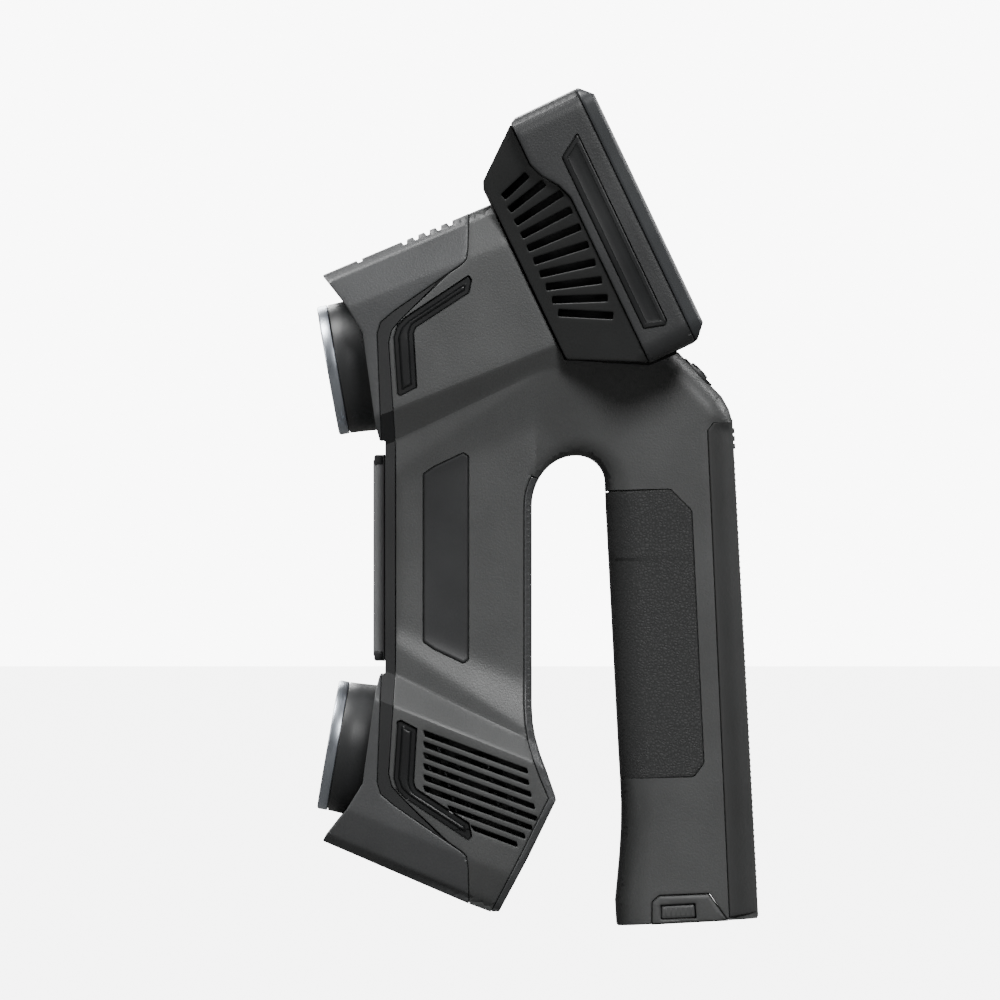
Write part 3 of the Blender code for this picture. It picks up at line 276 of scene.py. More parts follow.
def outline(points, step=1.4):
    """A closed outline in short steps. A point's third number rounds that corner."""
    rounded = []
    for i, point in enumerate(points):
        here = Vector(point[:2])
        radius = point[2] if len(point) > 2 else 0.0
        before = Vector(points[i - 1][:2]) - here
        after = Vector(points[(i + 1) % len(points)][:2]) - here
        if radius <= 0.0:
            rounded.append(here)
            continue
        half = before.angle(after) / 2
        back = min(radius / math.tan(half), 0.49 * before.length, 0.49 * after.length)
        a, b = here + before.normalized() * back, here + after.normalized() * back
        count = max(2, int((math.pi - 2 * half) * radius / 0.5) + 1)
        for k in range(count + 1):
            t = k / count
            rounded.append(a * (1 - t) ** 2 + here * 2 * t * (1 - t) + b * t**2)
    fine = []
    for a, b in zip(rounded, rounded[1:] + rounded[:1]):
        count = max(1, math.ceil((b - a).length / step))
        fine += [tuple(a.lerp(b, k / count)) for k in range(count) if (b - a).length > 1e-4]
    return np.array(fine)


def within(x, z, ring):
    """Which points lie inside a closed outline."""
    inside = np.zeros(x.shape, bool)
    for a, b in zip(ring, np.roll(ring, -1, 0)):
        if a[1] == b[1]:
            continue
        crosses = (a[1] > z) != (b[1] > z)
        inside ^= crosses & (x < (b[0] - a[0]) * (z - a[1]) / (b[1] - a[1]) + a[0])
    return inside


def drawn_in(ring, depth):
    """An outline drawn in by a depth, from the sides' own directions."""
    before = ring - np.roll(ring, 1, 0)
    after = np.roll(ring, -1, 0) - ring
    before /= np.linalg.norm(before, axis=1)[:, None]
    after /= np.linalg.norm(after, axis=1)[:, None]
    x, z = ring[:, 0], ring[:, 1]
    area = np.sum(x * np.roll(z, -1) - np.roll(x, -1) * z)
    turn = 1.0 if area > 0 else -1.0
    normal = np.stack([-(before + after)[:, 1], (before + after)[:, 0]], 1) * turn
    normal /= np.maximum(np.linalg.norm(normal, axis=1), 1e-9)[:, None]
    lean = normal[:, 0] * -before[:, 1] * turn + normal[:, 1] * before[:, 0] * turn
    return ring + normal * (depth / np.clip(lean, 0.5, 1.0))[:, None]


POCKET_LEAN = 0.12  # draft of a pocket's side
ROUND_EDGE = ((0.0, 0.35), (0.12, 0.16), (0.3, 0.04), (0.55, 0.0))


def pressed(
    name,
    rings,
    half=surface,
    hollow=None,
    wall=WALL,
    mid=None,
    profile=ROUND_EDGE,
    spacing=1.7,
    axes=None,
    lines=(),
    side=None,
    pockets=(),
):
    """A moulding seen from the side: its outline and holes, and how wide it is at each point.

    `hollow` is the outline of the room inside it, `mid` the height of its flat back beside the middle
    plane, or None for a piece that goes right across. `profile` shapes its edges: pairs of a distance
    in from the edge and how far the surface has fallen there. `side` keeps one half, -1 or 1.
    `pockets` are outlines with the depth that the surface is sunk inside them.
    """
    starts = np.concatenate(rings)
    ends = np.concatenate([np.roll(ring, -1, 0) for ring in rings])
    points, edges = [], []

    def add_line(line, closed=True):
        first = len(points)
        points.extend(map(tuple, line))
        count = len(line)
        edges.extend(
            (first + i, first + (i + 1) % count) for i in range(count if closed else count - 1)
        )

    for number, ring in enumerate(rings):
        add_line(ring)
        for depth, _ in profile[1:]:
            # A ring that turns back on itself in a corner only adds points, so it isn't joined up.
            points.extend(map(tuple, drawn_in(ring, depth if number == 0 else -depth)))
    if hollow is not None:
        add_line(hollow)
    for ring, _ in pockets:
        add_line(ring)
        points.extend(map(tuple, drawn_in(ring, POCKET_LEAN)))
    for line in lines:
        add_line(line, closed=False)
    low, high = starts.min(0), starts.max(0)
    rows = np.arange(low[1], high[1], spacing * 0.866)
    grid = [
        (x, z)
        for k, z in enumerate(rows)
        for x in np.arange(low[0] + (k % 2) * spacing / 2, high[0], spacing)
    ]
    grid = np.array(grid) if grid else np.zeros((0, 2))
    clear = distance(grid[:, 0], grid[:, 1], starts, ends) > profile[-1][0] + 0.45 * spacing
    inside = within(grid[:, 0], grid[:, 1], rings[0])
    guides = [np.array(line) for line in lines] + ([hollow] if hollow is not None else [])
    guides += [ring for ring, _ in pockets]
    for guide in guides:
        clear &= distance(grid[:, 0], grid[:, 1], guide[:-1], guide[1:]) > 0.4 * spacing
    points.extend(map(tuple, grid[clear & inside]))
    flat, _, faces = delaunay_2d_cdt([Vector(p) for p in points], edges, [], 0, 1e-5)[:3]
    flat = np.array([tuple(v) for v in flat])
    faces = np.array([f for f in faces if len(f) == 3])
    corners = flat[faces]
    area = np.cross(corners[:, 1] - corners[:, 0], corners[:, 2] - corners[:, 0])
    faces = np.where((area < 0)[:, None], faces[:, ::-1], faces)[np.abs(area) > 1e-9]
    middle = flat[faces].mean(1)
    kept = within(middle[:, 0], middle[:, 1], rings[0])
    for ring in rings[1:]:
        kept &= ~within(middle[:, 0], middle[:, 1], ring)
    faces, middle = faces[kept], middle[kept]
    roomy = np.zeros(len(faces), bool)
    if hollow is not None:
        roomy = within(middle[:, 0], middle[:, 1], hollow)

    x, z = flat[:, 0], flat[:, 1]
    inset = distance(x, z, starts, ends)
    width = half(x, z)
    for ring, depth in pockets:
        width = width - depth * within(x, z, drawn_in(ring, POCKET_LEAN / 2))
    outer = width - np.interp(inset, [d for d, _ in profile], [f for _, f in profile])
    inner = np.maximum(width - wall, 1.0 if mid is None else mid + 1.0)
    count = len(flat)
    layers = {"outer": outer, "inner": inner}
    cells = []
    # Seen along +Y with x to the right and z up, an anticlockwise face points towards the viewer.
    cells += [(("outer", a), ("outer", b), ("outer", c)) for a, b, c in faces]
    cells += [(("inner", c), ("inner", b), ("inner", a)) for a, b, c in faces[roomy]]
    if mid is not None:
        cells += [(("mid", c), ("mid", b), ("mid", a)) for a, b, c in faces[~roomy]]
    sides = {}
    for triangle, room in zip(faces, roomy):
        for a, b in zip(triangle, np.roll(triangle, -1)):
            sides.setdefault((min(a, b), max(a, b)), []).append((a, b, room))
    for found in sides.values():
        if len(found) == 1:
            a, b, room = found[0]
            cells.append(
                (
                    ("outer", b),
                    ("outer", a),
                    ("inner" if room else "mid", a),
                    ("inner" if room else "mid", b),
                )
            )
        elif found[0][2] != found[1][2]:
            a, b, _ = found[0] if found[0][2] else found[1]
            cells.append((("inner", a), ("inner", b), ("mid", b), ("mid", a)))

    def place(layer, index, sign):
        if layer == "mid":
            y = (mid or 0.0) * sign
        else:
            y = layers[layer][index] * sign
        a, b = flat[index]
        if axes is None:
            return ((a + ORIGIN[0]) * MM, y * MM, (b + ORIGIN[1]) * MM)
        return tuple(axes @ Vector((a * MM, y * MM, b * MM)))

    verts, numbers, polygons = [], {}, []

    def corner(layer, index, sign):
        key = (layer, index, sign)
        if key not in numbers:
            numbers[key] = len(verts)
            verts.append(place(layer, index, sign))
        return numbers[key]

    for sign in (-1, 1) if side is None else (side,):
        for cell in cells:
            if cell[-1][0] == "mid" and cell[0][0] != "mid" and mid is None:
                if sign > 0:
                    near = [corner(*key, -1) for key in cell[:2]]
                    far = [corner(*key, 1) for key in cell[1::-1]]
                    polygons.append(near + far)
                continue
            ring = [corner(*key, sign) for key in cell]
            polygons.append(ring if sign < 0 else ring[::-1])
    mesh = bpy.data.meshes.new(name)
    mesh.from_pydata(verts, [], polygons)
    mesh.shade_smooth()
    mesh.set_sharp_from_angle(angle=math.radians(14))
    made = bpy.data.objects.new(name, mesh)
    bpy.context.scene.collection.objects.link(made)
    return made


def up(points):
    """Points counted from the upper lens, in the side view."""
    return [(x, UPPER + u, *r) for x, u, *r in points]


def down(points):
    """Points counted downwards from the lower lens, in the side view."""
    return [(x, LOWER - u, *r) for x, u, *r in points]


GAP = 0.3
CASING_FRONT = [
    (-28.0, 64.0),
    (-28.3, 50.3, 2.0),
    (-29.0, 44.9, 2.0),
    (-31.0, 42.9, 2.0),
    (-36.6, 39.0, 4.0),
    (-54.9, 21.6, 4.0),
    (-59.6, 16.3, 3.0),
    (-60.8, 11.2, 3.0),
    (-58.1, -32.0, 6.0),
]


def shifted(line, depth):
    """An open line moved to its left as it runs."""
    line = np.array([point[:2] for point in line], float)
    run = np.gradient(line, axis=0)
    run /= np.linalg.norm(run, axis=1)[:, None]
    return [tuple(p) for p in line + np.stack([-run[:, 1], run[:, 0]], 1) * depth]


BAND = 3.1  # width of the rear cover seen from the side
ARCH_CUT = 5  # point of the arch where the rear cover begins
back_curve = [*reversed(ARCH[: ARCH_CUT + 1]), *reversed(BODY_BACK), (-4.1, 28.2), (-16.0, 6.1)]
grip_front = list(reversed(GRIP_FRONT))
PAD_DEEP = 1.5


def foot_line(x):
    return on_grip((x - 63.9) / 0.99863, 0.0)


casing_ring = outline(
    [
        *up(CASING_FRONT[:1]),
        (-19.4, 295.3),
        (10.7, 232.0),
        (45.7, 230.0, 1.5),
        (57.4, 235.0),
        *SHOULDER,
        (80.1, 206.0),
        (78.6, 206.0),
        on_grip(26.95 - PAD_DEEP, 3.4),
        on_grip(26.95, 3.4),
        on_grip(26.95, 0.9),
        on_grip(26.2, 0.0),
        foot_line(78.2),
        (70.3, 13.3, 1.0),
        (49.9, 12.5, 2.0),
        (46.7, 9.9, 2.0),
        foot_line(46.6),
        on_grip(-30.9, 0.0),
        on_grip(-31.5, 0.7),
        *grip_front[1:6],
        (33.95, 59.6),
        (33.95 + PAD_DEEP, 59.6),
        (27.75 + PAD_DEEP, 178.0),
        (27.75, 178.0),
        *reversed(ARCH[ARCH_CUT:]),
        *shifted(back_curve, -(BAND + GAP))[:-1],
        (-19.3, 6.2),
        *down([(-28.0, 64.6)]),
        *down(CASING_FRONT[1:]),
        *reversed(up(CASING_FRONT[1:])),
    ]
)
room = outline(
    [
        (-64.0, 273.4),
        (-20.6, 291.4),
        (6.9, 229.3),
        (46.0, 227.0),
        (57.5, 231.4),
        (72.9, 215.6),
        (76.6, 205.0),
        on_grip(23.6, 190.0),
        on_grip(23.6, 3.0),
        on_grip(-28.2, 3.0),
        on_grip(-27.4, 15.0),
        on_grip(-24.6, 40.0),
        on_grip(-23.2, 60.0),
        on_grip(-23.2, 170.0),
        *arc((16.0, 181.5), (15.4, 15.0), 0, 90, 8),
        *arc((16.0, 172.0), (22.0, 24.4), 90, 155, 8)[1:],
        *shifted(back_curve, -1.4)[3:-1],
        (-17.8, 9.0),
        (-64.0, 28.3),
    ]
)
PAD = [
    (10.0, 178.0),
    (54.5, 179.2, 2.0),
    (63.4, 170.3, 3.0),
    (68.4, 66.5, 2.5),
    (64.1, 60.8, 2.0),
    (10.0, 59.6),
]
STRIP = [(69.4, 203.0, 0.6), (71.9, 206.3, 0.6), (120.0, 206.3), (120.0, 3.1), (78.4, 3.1)]
TRIM = [
    (-57.7, -10.2, 1.0),
    (-59.3, 13.4, 3.0),
    (-57.6, 18.4, 2.0),
    (-54.2, 21.8, 2.0),
    (-28.2, 39.0, 0.8),
    (-26.7, 36.8, 0.8),
    (-27.8, 31.2, 1.5),
    (-49.6, 17.0, 2.0),
    (-50.4, 14.6, 2.0),
    (-49.1, -7.4, 0.8),
    (-56.0, -11.0, 0.8),
]
PLATE = [
    (-47.2, 34.5, 2.0),
    (-42.5, 37.7, 1.0),
    (-30.4, 43.4, 1.2),
    (-28.0, 41.8, 1.2),
    (-28.0, -41.8, 1.2),
    (-30.4, -43.4, 1.2),
    (-42.5, -37.7, 1.0),
    (-47.2, -34.5, 2.0),
]
TRIM_DEEP = 2.0
pad_ring, strip_ring = outline(PAD), outline(STRIP)
trim_rings = {"upper": outline(up(TRIM), 0.9), "lower": outline(down(TRIM), 0.9)}
plate_ring = outline([(x, MIDDLE + z, r) for x, z, r in PLATE], 1.0)
pockets = [
    (pad_ring, PAD_DEEP),
    (strip_ring, PAD_DEEP),
    (plate_ring, 1.2),
    *((ring, TRIM_DEEP) for ring in trim_rings.values()),
]
SLOT_SLOPE = math.tan(math.radians(20.4))
SLOT_PITCH = 4.5
slots = []
for index in range(8):
    high = 6.8 - SLOT_PITCH * index
    start = -47.0 if index < 6 else -47.0 + (index - 5) * 9.5
    end = (-4.5, -4.0, -3.1, -1.7, -0.4, -2.6, -5.6, -8.8)[index]
    heights = [high - (x + 47.2) * SLOT_SLOPE for x in (start, end)]
    tip = -46.0 if index < 6 else start + 2.0
    corners = [(start, -heights[0], 0.5), (end, -heights[1], 0.7)]
    corners += [(end + 0.8, 2.4 - heights[1], 0.7), (tip, 2.4 - heights[0] + 0.37, 0.5)]
    slots.append(outline(down([(x, u, r) for x, u, r in corners]), 1.5))


def crease(a, b, apart=(-1.0, -0.35, 0.35, 1.0), step=1.6):
    """Lines beside a crease, so that the mesh turns along it."""
    a, b = np.array(a), np.array(b)
    run = (b - a) / np.linalg.norm(b - a)
    count = int(np.linalg.norm(b - a) / step) + 1
    normal = np.array((-run[1], run[0]))
    return [[tuple(a + (b - a) * t + normal * d) for t in np.linspace(0, 1, count)] for d in apart]


creases = []
for place_points in (up, down):
    for a, b in (BELLY, ((-27.0, 46.6), (-20.0, 49.4)), SHOULDER_CREASE, ((-58.0, -28.9), (11.0, 3.7))):
        creases += crease(*place_points([a, b]))
shells = {}
for label, sign in (("left", -1), ("right", 1)):
    shells[label] = pressed(
        f"casing_{label}",
        [casing_ring, *slots],
        hollow=room,
        mid=SEAM,
        pockets=pockets,
        lines=creases,
        side=sign,
    )


def new_material(name):
    """A material, its node tree and the object's own coordinates."""
    made = bpy.data.materials.new(name)
    made.use_nodes = True
    return made, made.node_tree, add_node(made.node_tree, "ShaderNodeTexCoord").outputs["Object"]


def noise(tree, place, scale, detail, roughness=0.5):
    """A noise texture's outputs."""
    values = {"Scale": scale, "Detail": detail, "Roughness": roughness}
    return add_node(tree, "ShaderNodeTexNoise", (), values, {"Vector": place}).outputs


def shades(tree, source, colour, low, high, start=0.0, end=1.0):
    """A colour that runs between two shades of itself."""
    ramp = add_node(tree, "ShaderNodeValToRGB", (), (), {"Fac": source})
    base = np.array(linear(colour))
    for element, share, position in zip(ramp.color_ramp.elements, (low, high), (start, end)):
        element.position = position
        element.color = (*(base * share), 1)
    return ramp.outputs["Color"]


def spread(tree, source, span, values, smooth=False):
    """A value moved from one span to another."""
    settings = {"interpolation_type": "SMOOTHSTEP"} if smooth else {}
    limits = dict(zip(("From Min", "From Max", "To Min", "To Max"), (*span, *values)))
    return add_node(
        tree, "ShaderNodeMapRange", settings, limits, {"Value": source}
    ).outputs["Result"]


def blended(tree, kind, share, a, b):
    """Two colours mixed."""
    settings = {"data_type": "RGBA", "blend_type": kind}
    return add_node(
        tree, "ShaderNodeMix", settings, {"Factor": share}, {"A": a, "B": b}
    ).outputs["Result"]


def wired(tree, colour, roughness=None, height=None, strength=0.6, depth=0.0, **values):
    """Joins a material's colour, roughness and bump (with its depth in millimetres) to its shader."""
    shader = tree.nodes["Principled BSDF"]
    tree.links.new(colour, shader.inputs["Base Color"])
    if roughness is not None:
        tree.links.new(roughness, shader.inputs["Roughness"])
    if height is not None:
        limits = {"Strength": strength, "Distance": depth * MM}
        bump = add_node(tree, "ShaderNodeBump", (), limits, {"Height": height})
        tree.links.new(bump.outputs["Normal"], shader.inputs["Normal"])
    for label, value in values.items():
        shader.inputs[label.replace("_", " ")].default_value = value


def moulded_plastic(name, colour, roughness, grain, depth, sheen=0.0, patches=0.1):
    """A moulded plastic: an even colour with faint patches, and the spark-eroded grain of its mould."""
    made, tree, place = new_material(name)
    cloud = noise(tree, place, 28.0, 3.0)["Fac"]
    grit = noise(tree, place, 1000.0 / grain, 2.0, 0.6)
    tint = shades(tree, cloud, colour, 1 - patches, 1 + patches, 0.3, 0.7)
    speck = blended(tree, "MULTIPLY", 0.25, tint, grit["Color"])
    bright = blended(tree, "MIX", 0.55, speck, tint)
    polish = spread(tree, cloud, (0.3, 0.7), (roughness - 0.05, roughness + 0.06))
    wired(tree, bright, polish, grit["Fac"], depth=depth, IOR=1.5, Sheen_Weight=sheen)
    return made


def dressed(piece, body, finish, slot, *nodes):
    """Gives a piece its material and body, and hides the pieces of the frame that it stands for. Its slot is not
    used.
    """
    piece.data.materials.clear()
    piece.data.materials.append(finish)
    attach(piece, body)
    if nodes:
        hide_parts(*nodes)
    return piece


# Glass-filled nylon with a fine spark-eroded grain, which leaves it matt and mid grey.
# The grain is drawn at 0.8 mm, about twice the real one, so that it shows.
casing_nylon = moulded_plastic("textured glass-filled nylon", "484949", 0.44, 0.8, 0.13)
for label, piece in shells.items():
    dressed(piece, "scanner", casing_nylon, "shell_plastic", f"shell_{label}")

# ------------------------------------------------------------------ visors
# Hoods that shade the lenses from above and below, in the same nylon a little lighter.
# Each slides over the housing's front and is held by clips behind the dark bulkhead.

visor_nylon = moulded_plastic("textured nylon hood", "464748", 0.42, 0.8, 0.13)
HOOD_EDGE = [
    (-64.0, -28.7),
    (-65.7, 14.8, 2.0),
    (-64.3, 19.5, 2.0),
    (-58.9, 24.1, 3.0),
    (-36.8, 39.4, 4.0),
    (-31.3, 43.1, 2.0),
    (-29.3, 45.1, 2.0),
    (-28.6, 50.3, 2.0),
    (-28.3, 63.95),
]
HOOD_FRONT = [
    (-88.2, 38.8, 0.8), (-78.2, 26.1, 2.0), (-71.6, 15.4, 2.0), (-66.3, -22.7, 4.0), (-64.7, -28.7)
]
NOTCHES = [(-55.9 + 4.65 * i, 1.7, 1.3) for i in range(5)]
LENS_LEAN = math.radians(10.0)


def roof_point(x, deep=0.0):
    return (x + 0.386 * deep, 38.8 + (x + 88.4) * 0.41884 - 0.922 * deep)


def lens_axes(side):
    """A lens's own axes: Z out of its face, X towards the visor's side."""
    sign = 1.0 if side == "upper" else -1.0
    z = Vector((-math.cos(LENS_LEAN), 0, -math.sin(LENS_LEAN) * sign))
    y = Vector((0, 1, 0))
    x = y.cross(z)
    turn = Matrix((x, y, z)).transposed().to_4x4()
    height = UPPER if side == "upper" else LOWER
    return Matrix.Translation(((-86.2 + ORIGIN[0]) * MM, 0, (height + ORIGIN[1]) * MM)) @ turn


def cut_away(piece, tool):
    """Cuts a piece with a closed tool, and drops the tool."""
    modifier = piece.modifiers.new("cut", "BOOLEAN")
    modifier.operation = "DIFFERENCE"
    modifier.object = tool
    modifier.solver = "EXACT"
    bpy.context.view_layer.update()
    graph = bpy.context.evaluated_depsgraph_get()
    mesh = bpy.data.meshes.new_from_object(piece.evaluated_get(graph))
    piece.modifiers.clear()
    old, piece.data = piece.data, mesh
    mesh.name = piece.name
    bpy.data.meshes.remove(old)
    bpy.data.objects.remove(tool, do_unlink=True)
    piece.data.set_sharp_from_angle(angle=math.radians(32))
    return piece


def as_object(name, made, axes=None, angle=40):
    """An object from a bmesh, smooth with edges sharper than an angle kept sharp, or flat for None."""
    mesh = bpy.data.meshes.new(name)
    made.to_mesh(mesh)
    made.free()
    if axes is not None:
        mesh.transform(axes)
    if angle is not None:
        mesh.shade_smooth()
        mesh.set_sharp_from_angle(angle=math.radians(angle))
    piece = bpy.data.objects.new(name, mesh)
    bpy.context.scene.collection.objects.link(piece)
    return piece


def turned(name, profile, axes=None, steps=96, centre=(0.0, 0.0)):
    """A lathe-turned solid from (radius, height) points, round the Z of its axes."""
    made = bmesh.new()
    rings = []
    for radius, height in profile:
        count = steps if radius > 1e-6 else 1
        angles = [2 * math.pi * k / steps for k in range(count)]
        around = [
            (centre[0] + radius * math.cos(t), centre[1] + radius * math.sin(t)) for t in angles
        ]
        rings.append([made.verts.new((x * MM, y * MM, height * MM)) for x, y in around])
    open_profile = len(rings[0]) == 1 and len(rings[-1]) == 1
    pairs = list(zip(rings, rings[1:])) + ([] if open_profile else [(rings[-1], rings[0])])
    for a, b in pairs:
        for k in range(steps):
            n = (k + 1) % steps
            corners = [a[k % len(a)], a[n % len(a)], b[n % len(b)], b[k % len(b)]]
            unique = list(dict.fromkeys(corners))
            if len(unique) > 2:
                made.faces.new(unique)
    bmesh.ops.recalc_face_normals(made, faces=made.faces)
    return as_object(name, made, axes, 32)


for side, place_points in (("upper", up), ("lower", down)):
    edge = [*HOOD_FRONT[::-1]]
    if side == "upper":
        edge += [
            roof_point(-74.2), roof_point(-73.9, 1.1), roof_point(-72.2, 1.1), roof_point(-71.9)
        ]
        for x, wide, deep in NOTCHES:
            edge += [
                roof_point(x),
                roof_point(x + 0.5, deep + 0.3),
                roof_point(x + wide, deep + 0.3),
                roof_point(x + wide + 0.7),
            ]
        edge.append(roof_point(-28.3))
    else:
        edge += [(-48.0, 56.1), (-28.3, 64.5)]
    ring = outline(place_points([*edge, *HOOD_EDGE[::-1][1:]]), 1.2)
    hollow = outline(
        place_points(
            [
                (-84.0, 37.6),
                (-76.5, 29.0),
                (-69.6, 17.0),
                (-63.9, -10.0),
                (-55.0, -10.0),
                (-20.0, 40.0),
                (-20.0, 64.3),
                (-26.0, 61.8),
            ]
        )
    )
    visor_creases = []
    for a, b in (((-77.0, 26.3), (-28.6, 45.7)), ((-86.0, 35.8), (-28.6, 59.9)), ((-63.0, -18.0), (-60.0, -16.8))):
        visor_creases += crease(*place_points([a, b]))
    visor = pressed(
        f"visor_{side}_hood", [ring], hollow=hollow, wall=2.6, lines=visor_creases, spacing=1.5
    )
    bore = turned("bore", [(0.0, 20.0), (28.3, 20.0), (28.3, -40.0), (0.0, -40.0)], lens_axes(side))
    cut_away(visor, bore)
    dressed(visor, "scanner", visor_nylon, "shell_plastic", f"visor_{side}")

# ------------------------------------------------------------------ rear cover
# A narrow strip of the same nylon that closes the back of the body along the finger gap.
# It snaps over both casings and hides their screws.

rear_ring = outline(
    [
        *back_curve[:-1],
        (-15.8, 6.3, 0.5),
        (-18.9, 6.3, 0.3),
        *reversed(shifted(back_curve, -BAND)[:-1]),
        (-2.4, 183.7),
    ], 1.3
)
rear_cover = pressed("rear_cover_strip", [rear_ring], spacing=1.5)
dressed(rear_cover, "scanner", visor_nylon, "shell_plastic", "rear_cover")

# ------------------------------------------------------------------ seam strips of painted shade
# Black strips that lie a millimetre down in the seams between mouldings: painted shade, so that each
# seam reads as a dark line of shade and no light shows through it. They follow the visors, the rear cover and the
# head's two seams.

# Near-black colour of the seam strips: painted shade in the gaps between mouldings.
seam_shade_black = moulded_plastic("black sealing foam", "101112", 0.8, 0.9, 0.02)


def level(half):
    """A half width that is the same all over."""
    return lambda x, z: 0.0 * x + half


def seam_shade_strip(name, line, width=1.6, half=surface, axes=None):
    """A black strip of painted shade along an open line of the side view, right across the body."""
    sides = [*shifted(line, width / 2), *reversed(shifted(line, -width / 2))]
    strip = pressed(
        name,
        [outline(sides, 2.0)],
        half=lambda x, z: half(x, z) - 1.1,
        axes=axes,
        spacing=3.0,
        profile=((0.0, 0.1), (0.2, 0.0)),
    )
    return dressed(strip, "scanner", seam_shade_black, "black_plastic")


visor_seam = [
    (-28.15, 63.9), (-28.45, 50.3), (-29.2, 45.0), (-31.2, 43.0), (-36.7, 39.2), (-56.9, 22.9)
]
for side, place_points in (("upper", up), ("lower", down)):
    seam_shade_strip(f"visor_gasket_{side}", place_points(visor_seam))
seam_shade_strip(
    "rear_gasket",
    [(0.1, 184.0), (-2.7, 184.6), *shifted(back_curve, -(BAND + GAP / 2))[1:-1], (-18.85, 6.5)],
)
seam_shade_strip(
    "neck_gasket", [(10.9, 233.2), (11.6, 232.2), (45.8, 230.4), (57.0, 235.3)], half=level(33.0)
)

# ------------------------------------------------------------------ trims and name plates
# Satin black polycarbonate inlays: an L-shaped trim in each side of both housings with a ridge
# along its middle, and a long plain plate on the body. All are glued into pockets.

trim_black = moulded_plastic("satin polycarbonate", "1A1B1C", 0.34, 1.1, 0.015, patches=0.06)
plate_black = moulded_plastic("fine-grained polycarbonate", "2D2E2F", 0.4, 0.8, 0.02, patches=0.05)
EVERYWHERE = outline([(-90, 40), (-90, 300), (0, 300), (0, 40)], 400)  # a thin sheet is hollow all over
TRIM_PROFILE = ((0.0, 0.5), (0.25, 0.15), (0.6, 0.0), (1.9, 0.0), (2.6, -0.75), (3.0, -0.85))
PLATE_PROFILE = ((0.0, 0.55), (0.5, 0.1), (0.9, 0.0), (1.3, 0.0))


def sunk(depth):
    """The body's surface drawn in by a depth."""
    return lambda x, z: surface(x, z) - depth


for label, sign in (("left", -1), ("right", 1)):
    for side, place_points in (("upper", up), ("lower", down)):
        ring = drawn_in(trim_rings[side], 0.3)
        trim = pressed(
            f"trim_{side}_{label}_inlay",
            [ring],
            half=sunk(1.5),
            hollow=EVERYWHERE,
            wall=0.6,
            mid=0.0,
            profile=TRIM_PROFILE,
            spacing=1.2,
            side=sign,
        )
        dressed(trim, "scanner", trim_black, "dark_trim", f"trim_{side}_{label}")
    plate_inlay = pressed(
        f"nameplate_{label}_inlay",
        [drawn_in(plate_ring, 0.3)],
        half=sunk(0.25),
        hollow=EVERYWHERE,
        wall=0.9,
        mid=0.0,
        profile=PLATE_PROFILE,
        side=sign,
    )
    dressed(plate_inlay, "scanner", plate_black, "dark_trim", f"nameplate_{label}")

# ------------------------------------------------------------------ grip pad and rear strip
# Soft-touch rubber skins, 1.2 mm thick, moulded over the grip: a pad with a leather grain under
# the fingers, and a plain strip down the back with fine ribs for the palm and three teeth above.


def leather_rubber(name, colour, cell, depth):
    """Soft rubber with a leather grain: rounded cells parted by narrow creases."""
    made, tree, place = new_material(name)
    bend = noise(tree, place, 260.0, 2.0)["Color"]
    shift = add_node(
        tree, "ShaderNodeVectorMath", {
            "operation": "MULTIPLY_ADD"
        }, {1: (0.0016,) * 3}, {0: bend, 2: place}
    )
    cells = add_node(
        tree,
        "ShaderNodeTexVoronoi",
        {"feature": "DISTANCE_TO_EDGE"},
        {"Scale": 1000.0 / cell},
        {"Vector": shift.outputs["Vector"]},
    )
    pores = noise(tree, place, 2400.0, 3.0)["Fac"]
    domes = spread(tree, cells.outputs["Distance"], (0.0, 0.28), (0.0, 1.0), smooth=True)
    height = add_node(
        tree, "ShaderNodeMath", {"operation": "MULTIPLY_ADD"}, {1: 0.35}, {0: pores, 2: domes}
    ).outputs["Value"]
    worn = spread(tree, height, (0.2, 0.9), (0.72, 0.56))
    # Darker in the creases between the cells than on the domes: painted shade in the grain.
    tint = shades(tree, domes, colour, 0.86, 1.06)
    wired(tree, tint, worn, height, 0.7, depth, IOR=1.52, Sheen_Weight=0.08)
    return made


pad_rubber = leather_rubber("leather-grained rubber", "262727", 1.25, 0.16)
strip_rubber = moulded_plastic("soft-touch rubber", "2B2C2C", 0.6, 0.9, 0.03, sheen=0.05)
SKIN = 1.25
pad_piece = outline(
    [
        (27.8, 177.7),
        (54.4, 178.9, 2.0),
        (63.1, 170.2, 3.0),
        (68.1, 66.6, 2.5),
        (63.9, 61.1, 2.0),
        (33.95, 59.9),
        *[p for p in grip_front if 62.0 < p[1] < 176.0],
    ]
)
pad_inside = outline(
    [(29.1, 200.0), (90.0, 200.0), (90.0, 40.0), (35.9, 40.0), (35.4, 60.0), (29.35, 177.0)], 3.0
)
grip_skin = pressed(
    "grip_pad_skin", [pad_piece], hollow=pad_inside, wall=SKIN, half=sunk(0.05), spacing=1.5
)
dressed(grip_skin, "scanner", pad_rubber, "grip_rubber", "grip_pad")
strip_piece = outline(
    [
        (69.7, 203.0, 0.6),
        (72.1, 206.0, 0.6),
        on_grip(26.9, 205.1),
        on_grip(26.9, 120.0),
        on_grip(26.9, 2.9),
        (78.7, 3.35),
    ]
)
strip_inside = outline(
    [on_grip(-40, 260), on_grip(25.6, 260), on_grip(25.6, -30), on_grip(-40, -30)], 3.0
)
strip_skin = pressed(
    "rear_strip_skin", [strip_piece], hollow=strip_inside, wall=SKIN, half=sunk(0.05), spacing=1.5
)


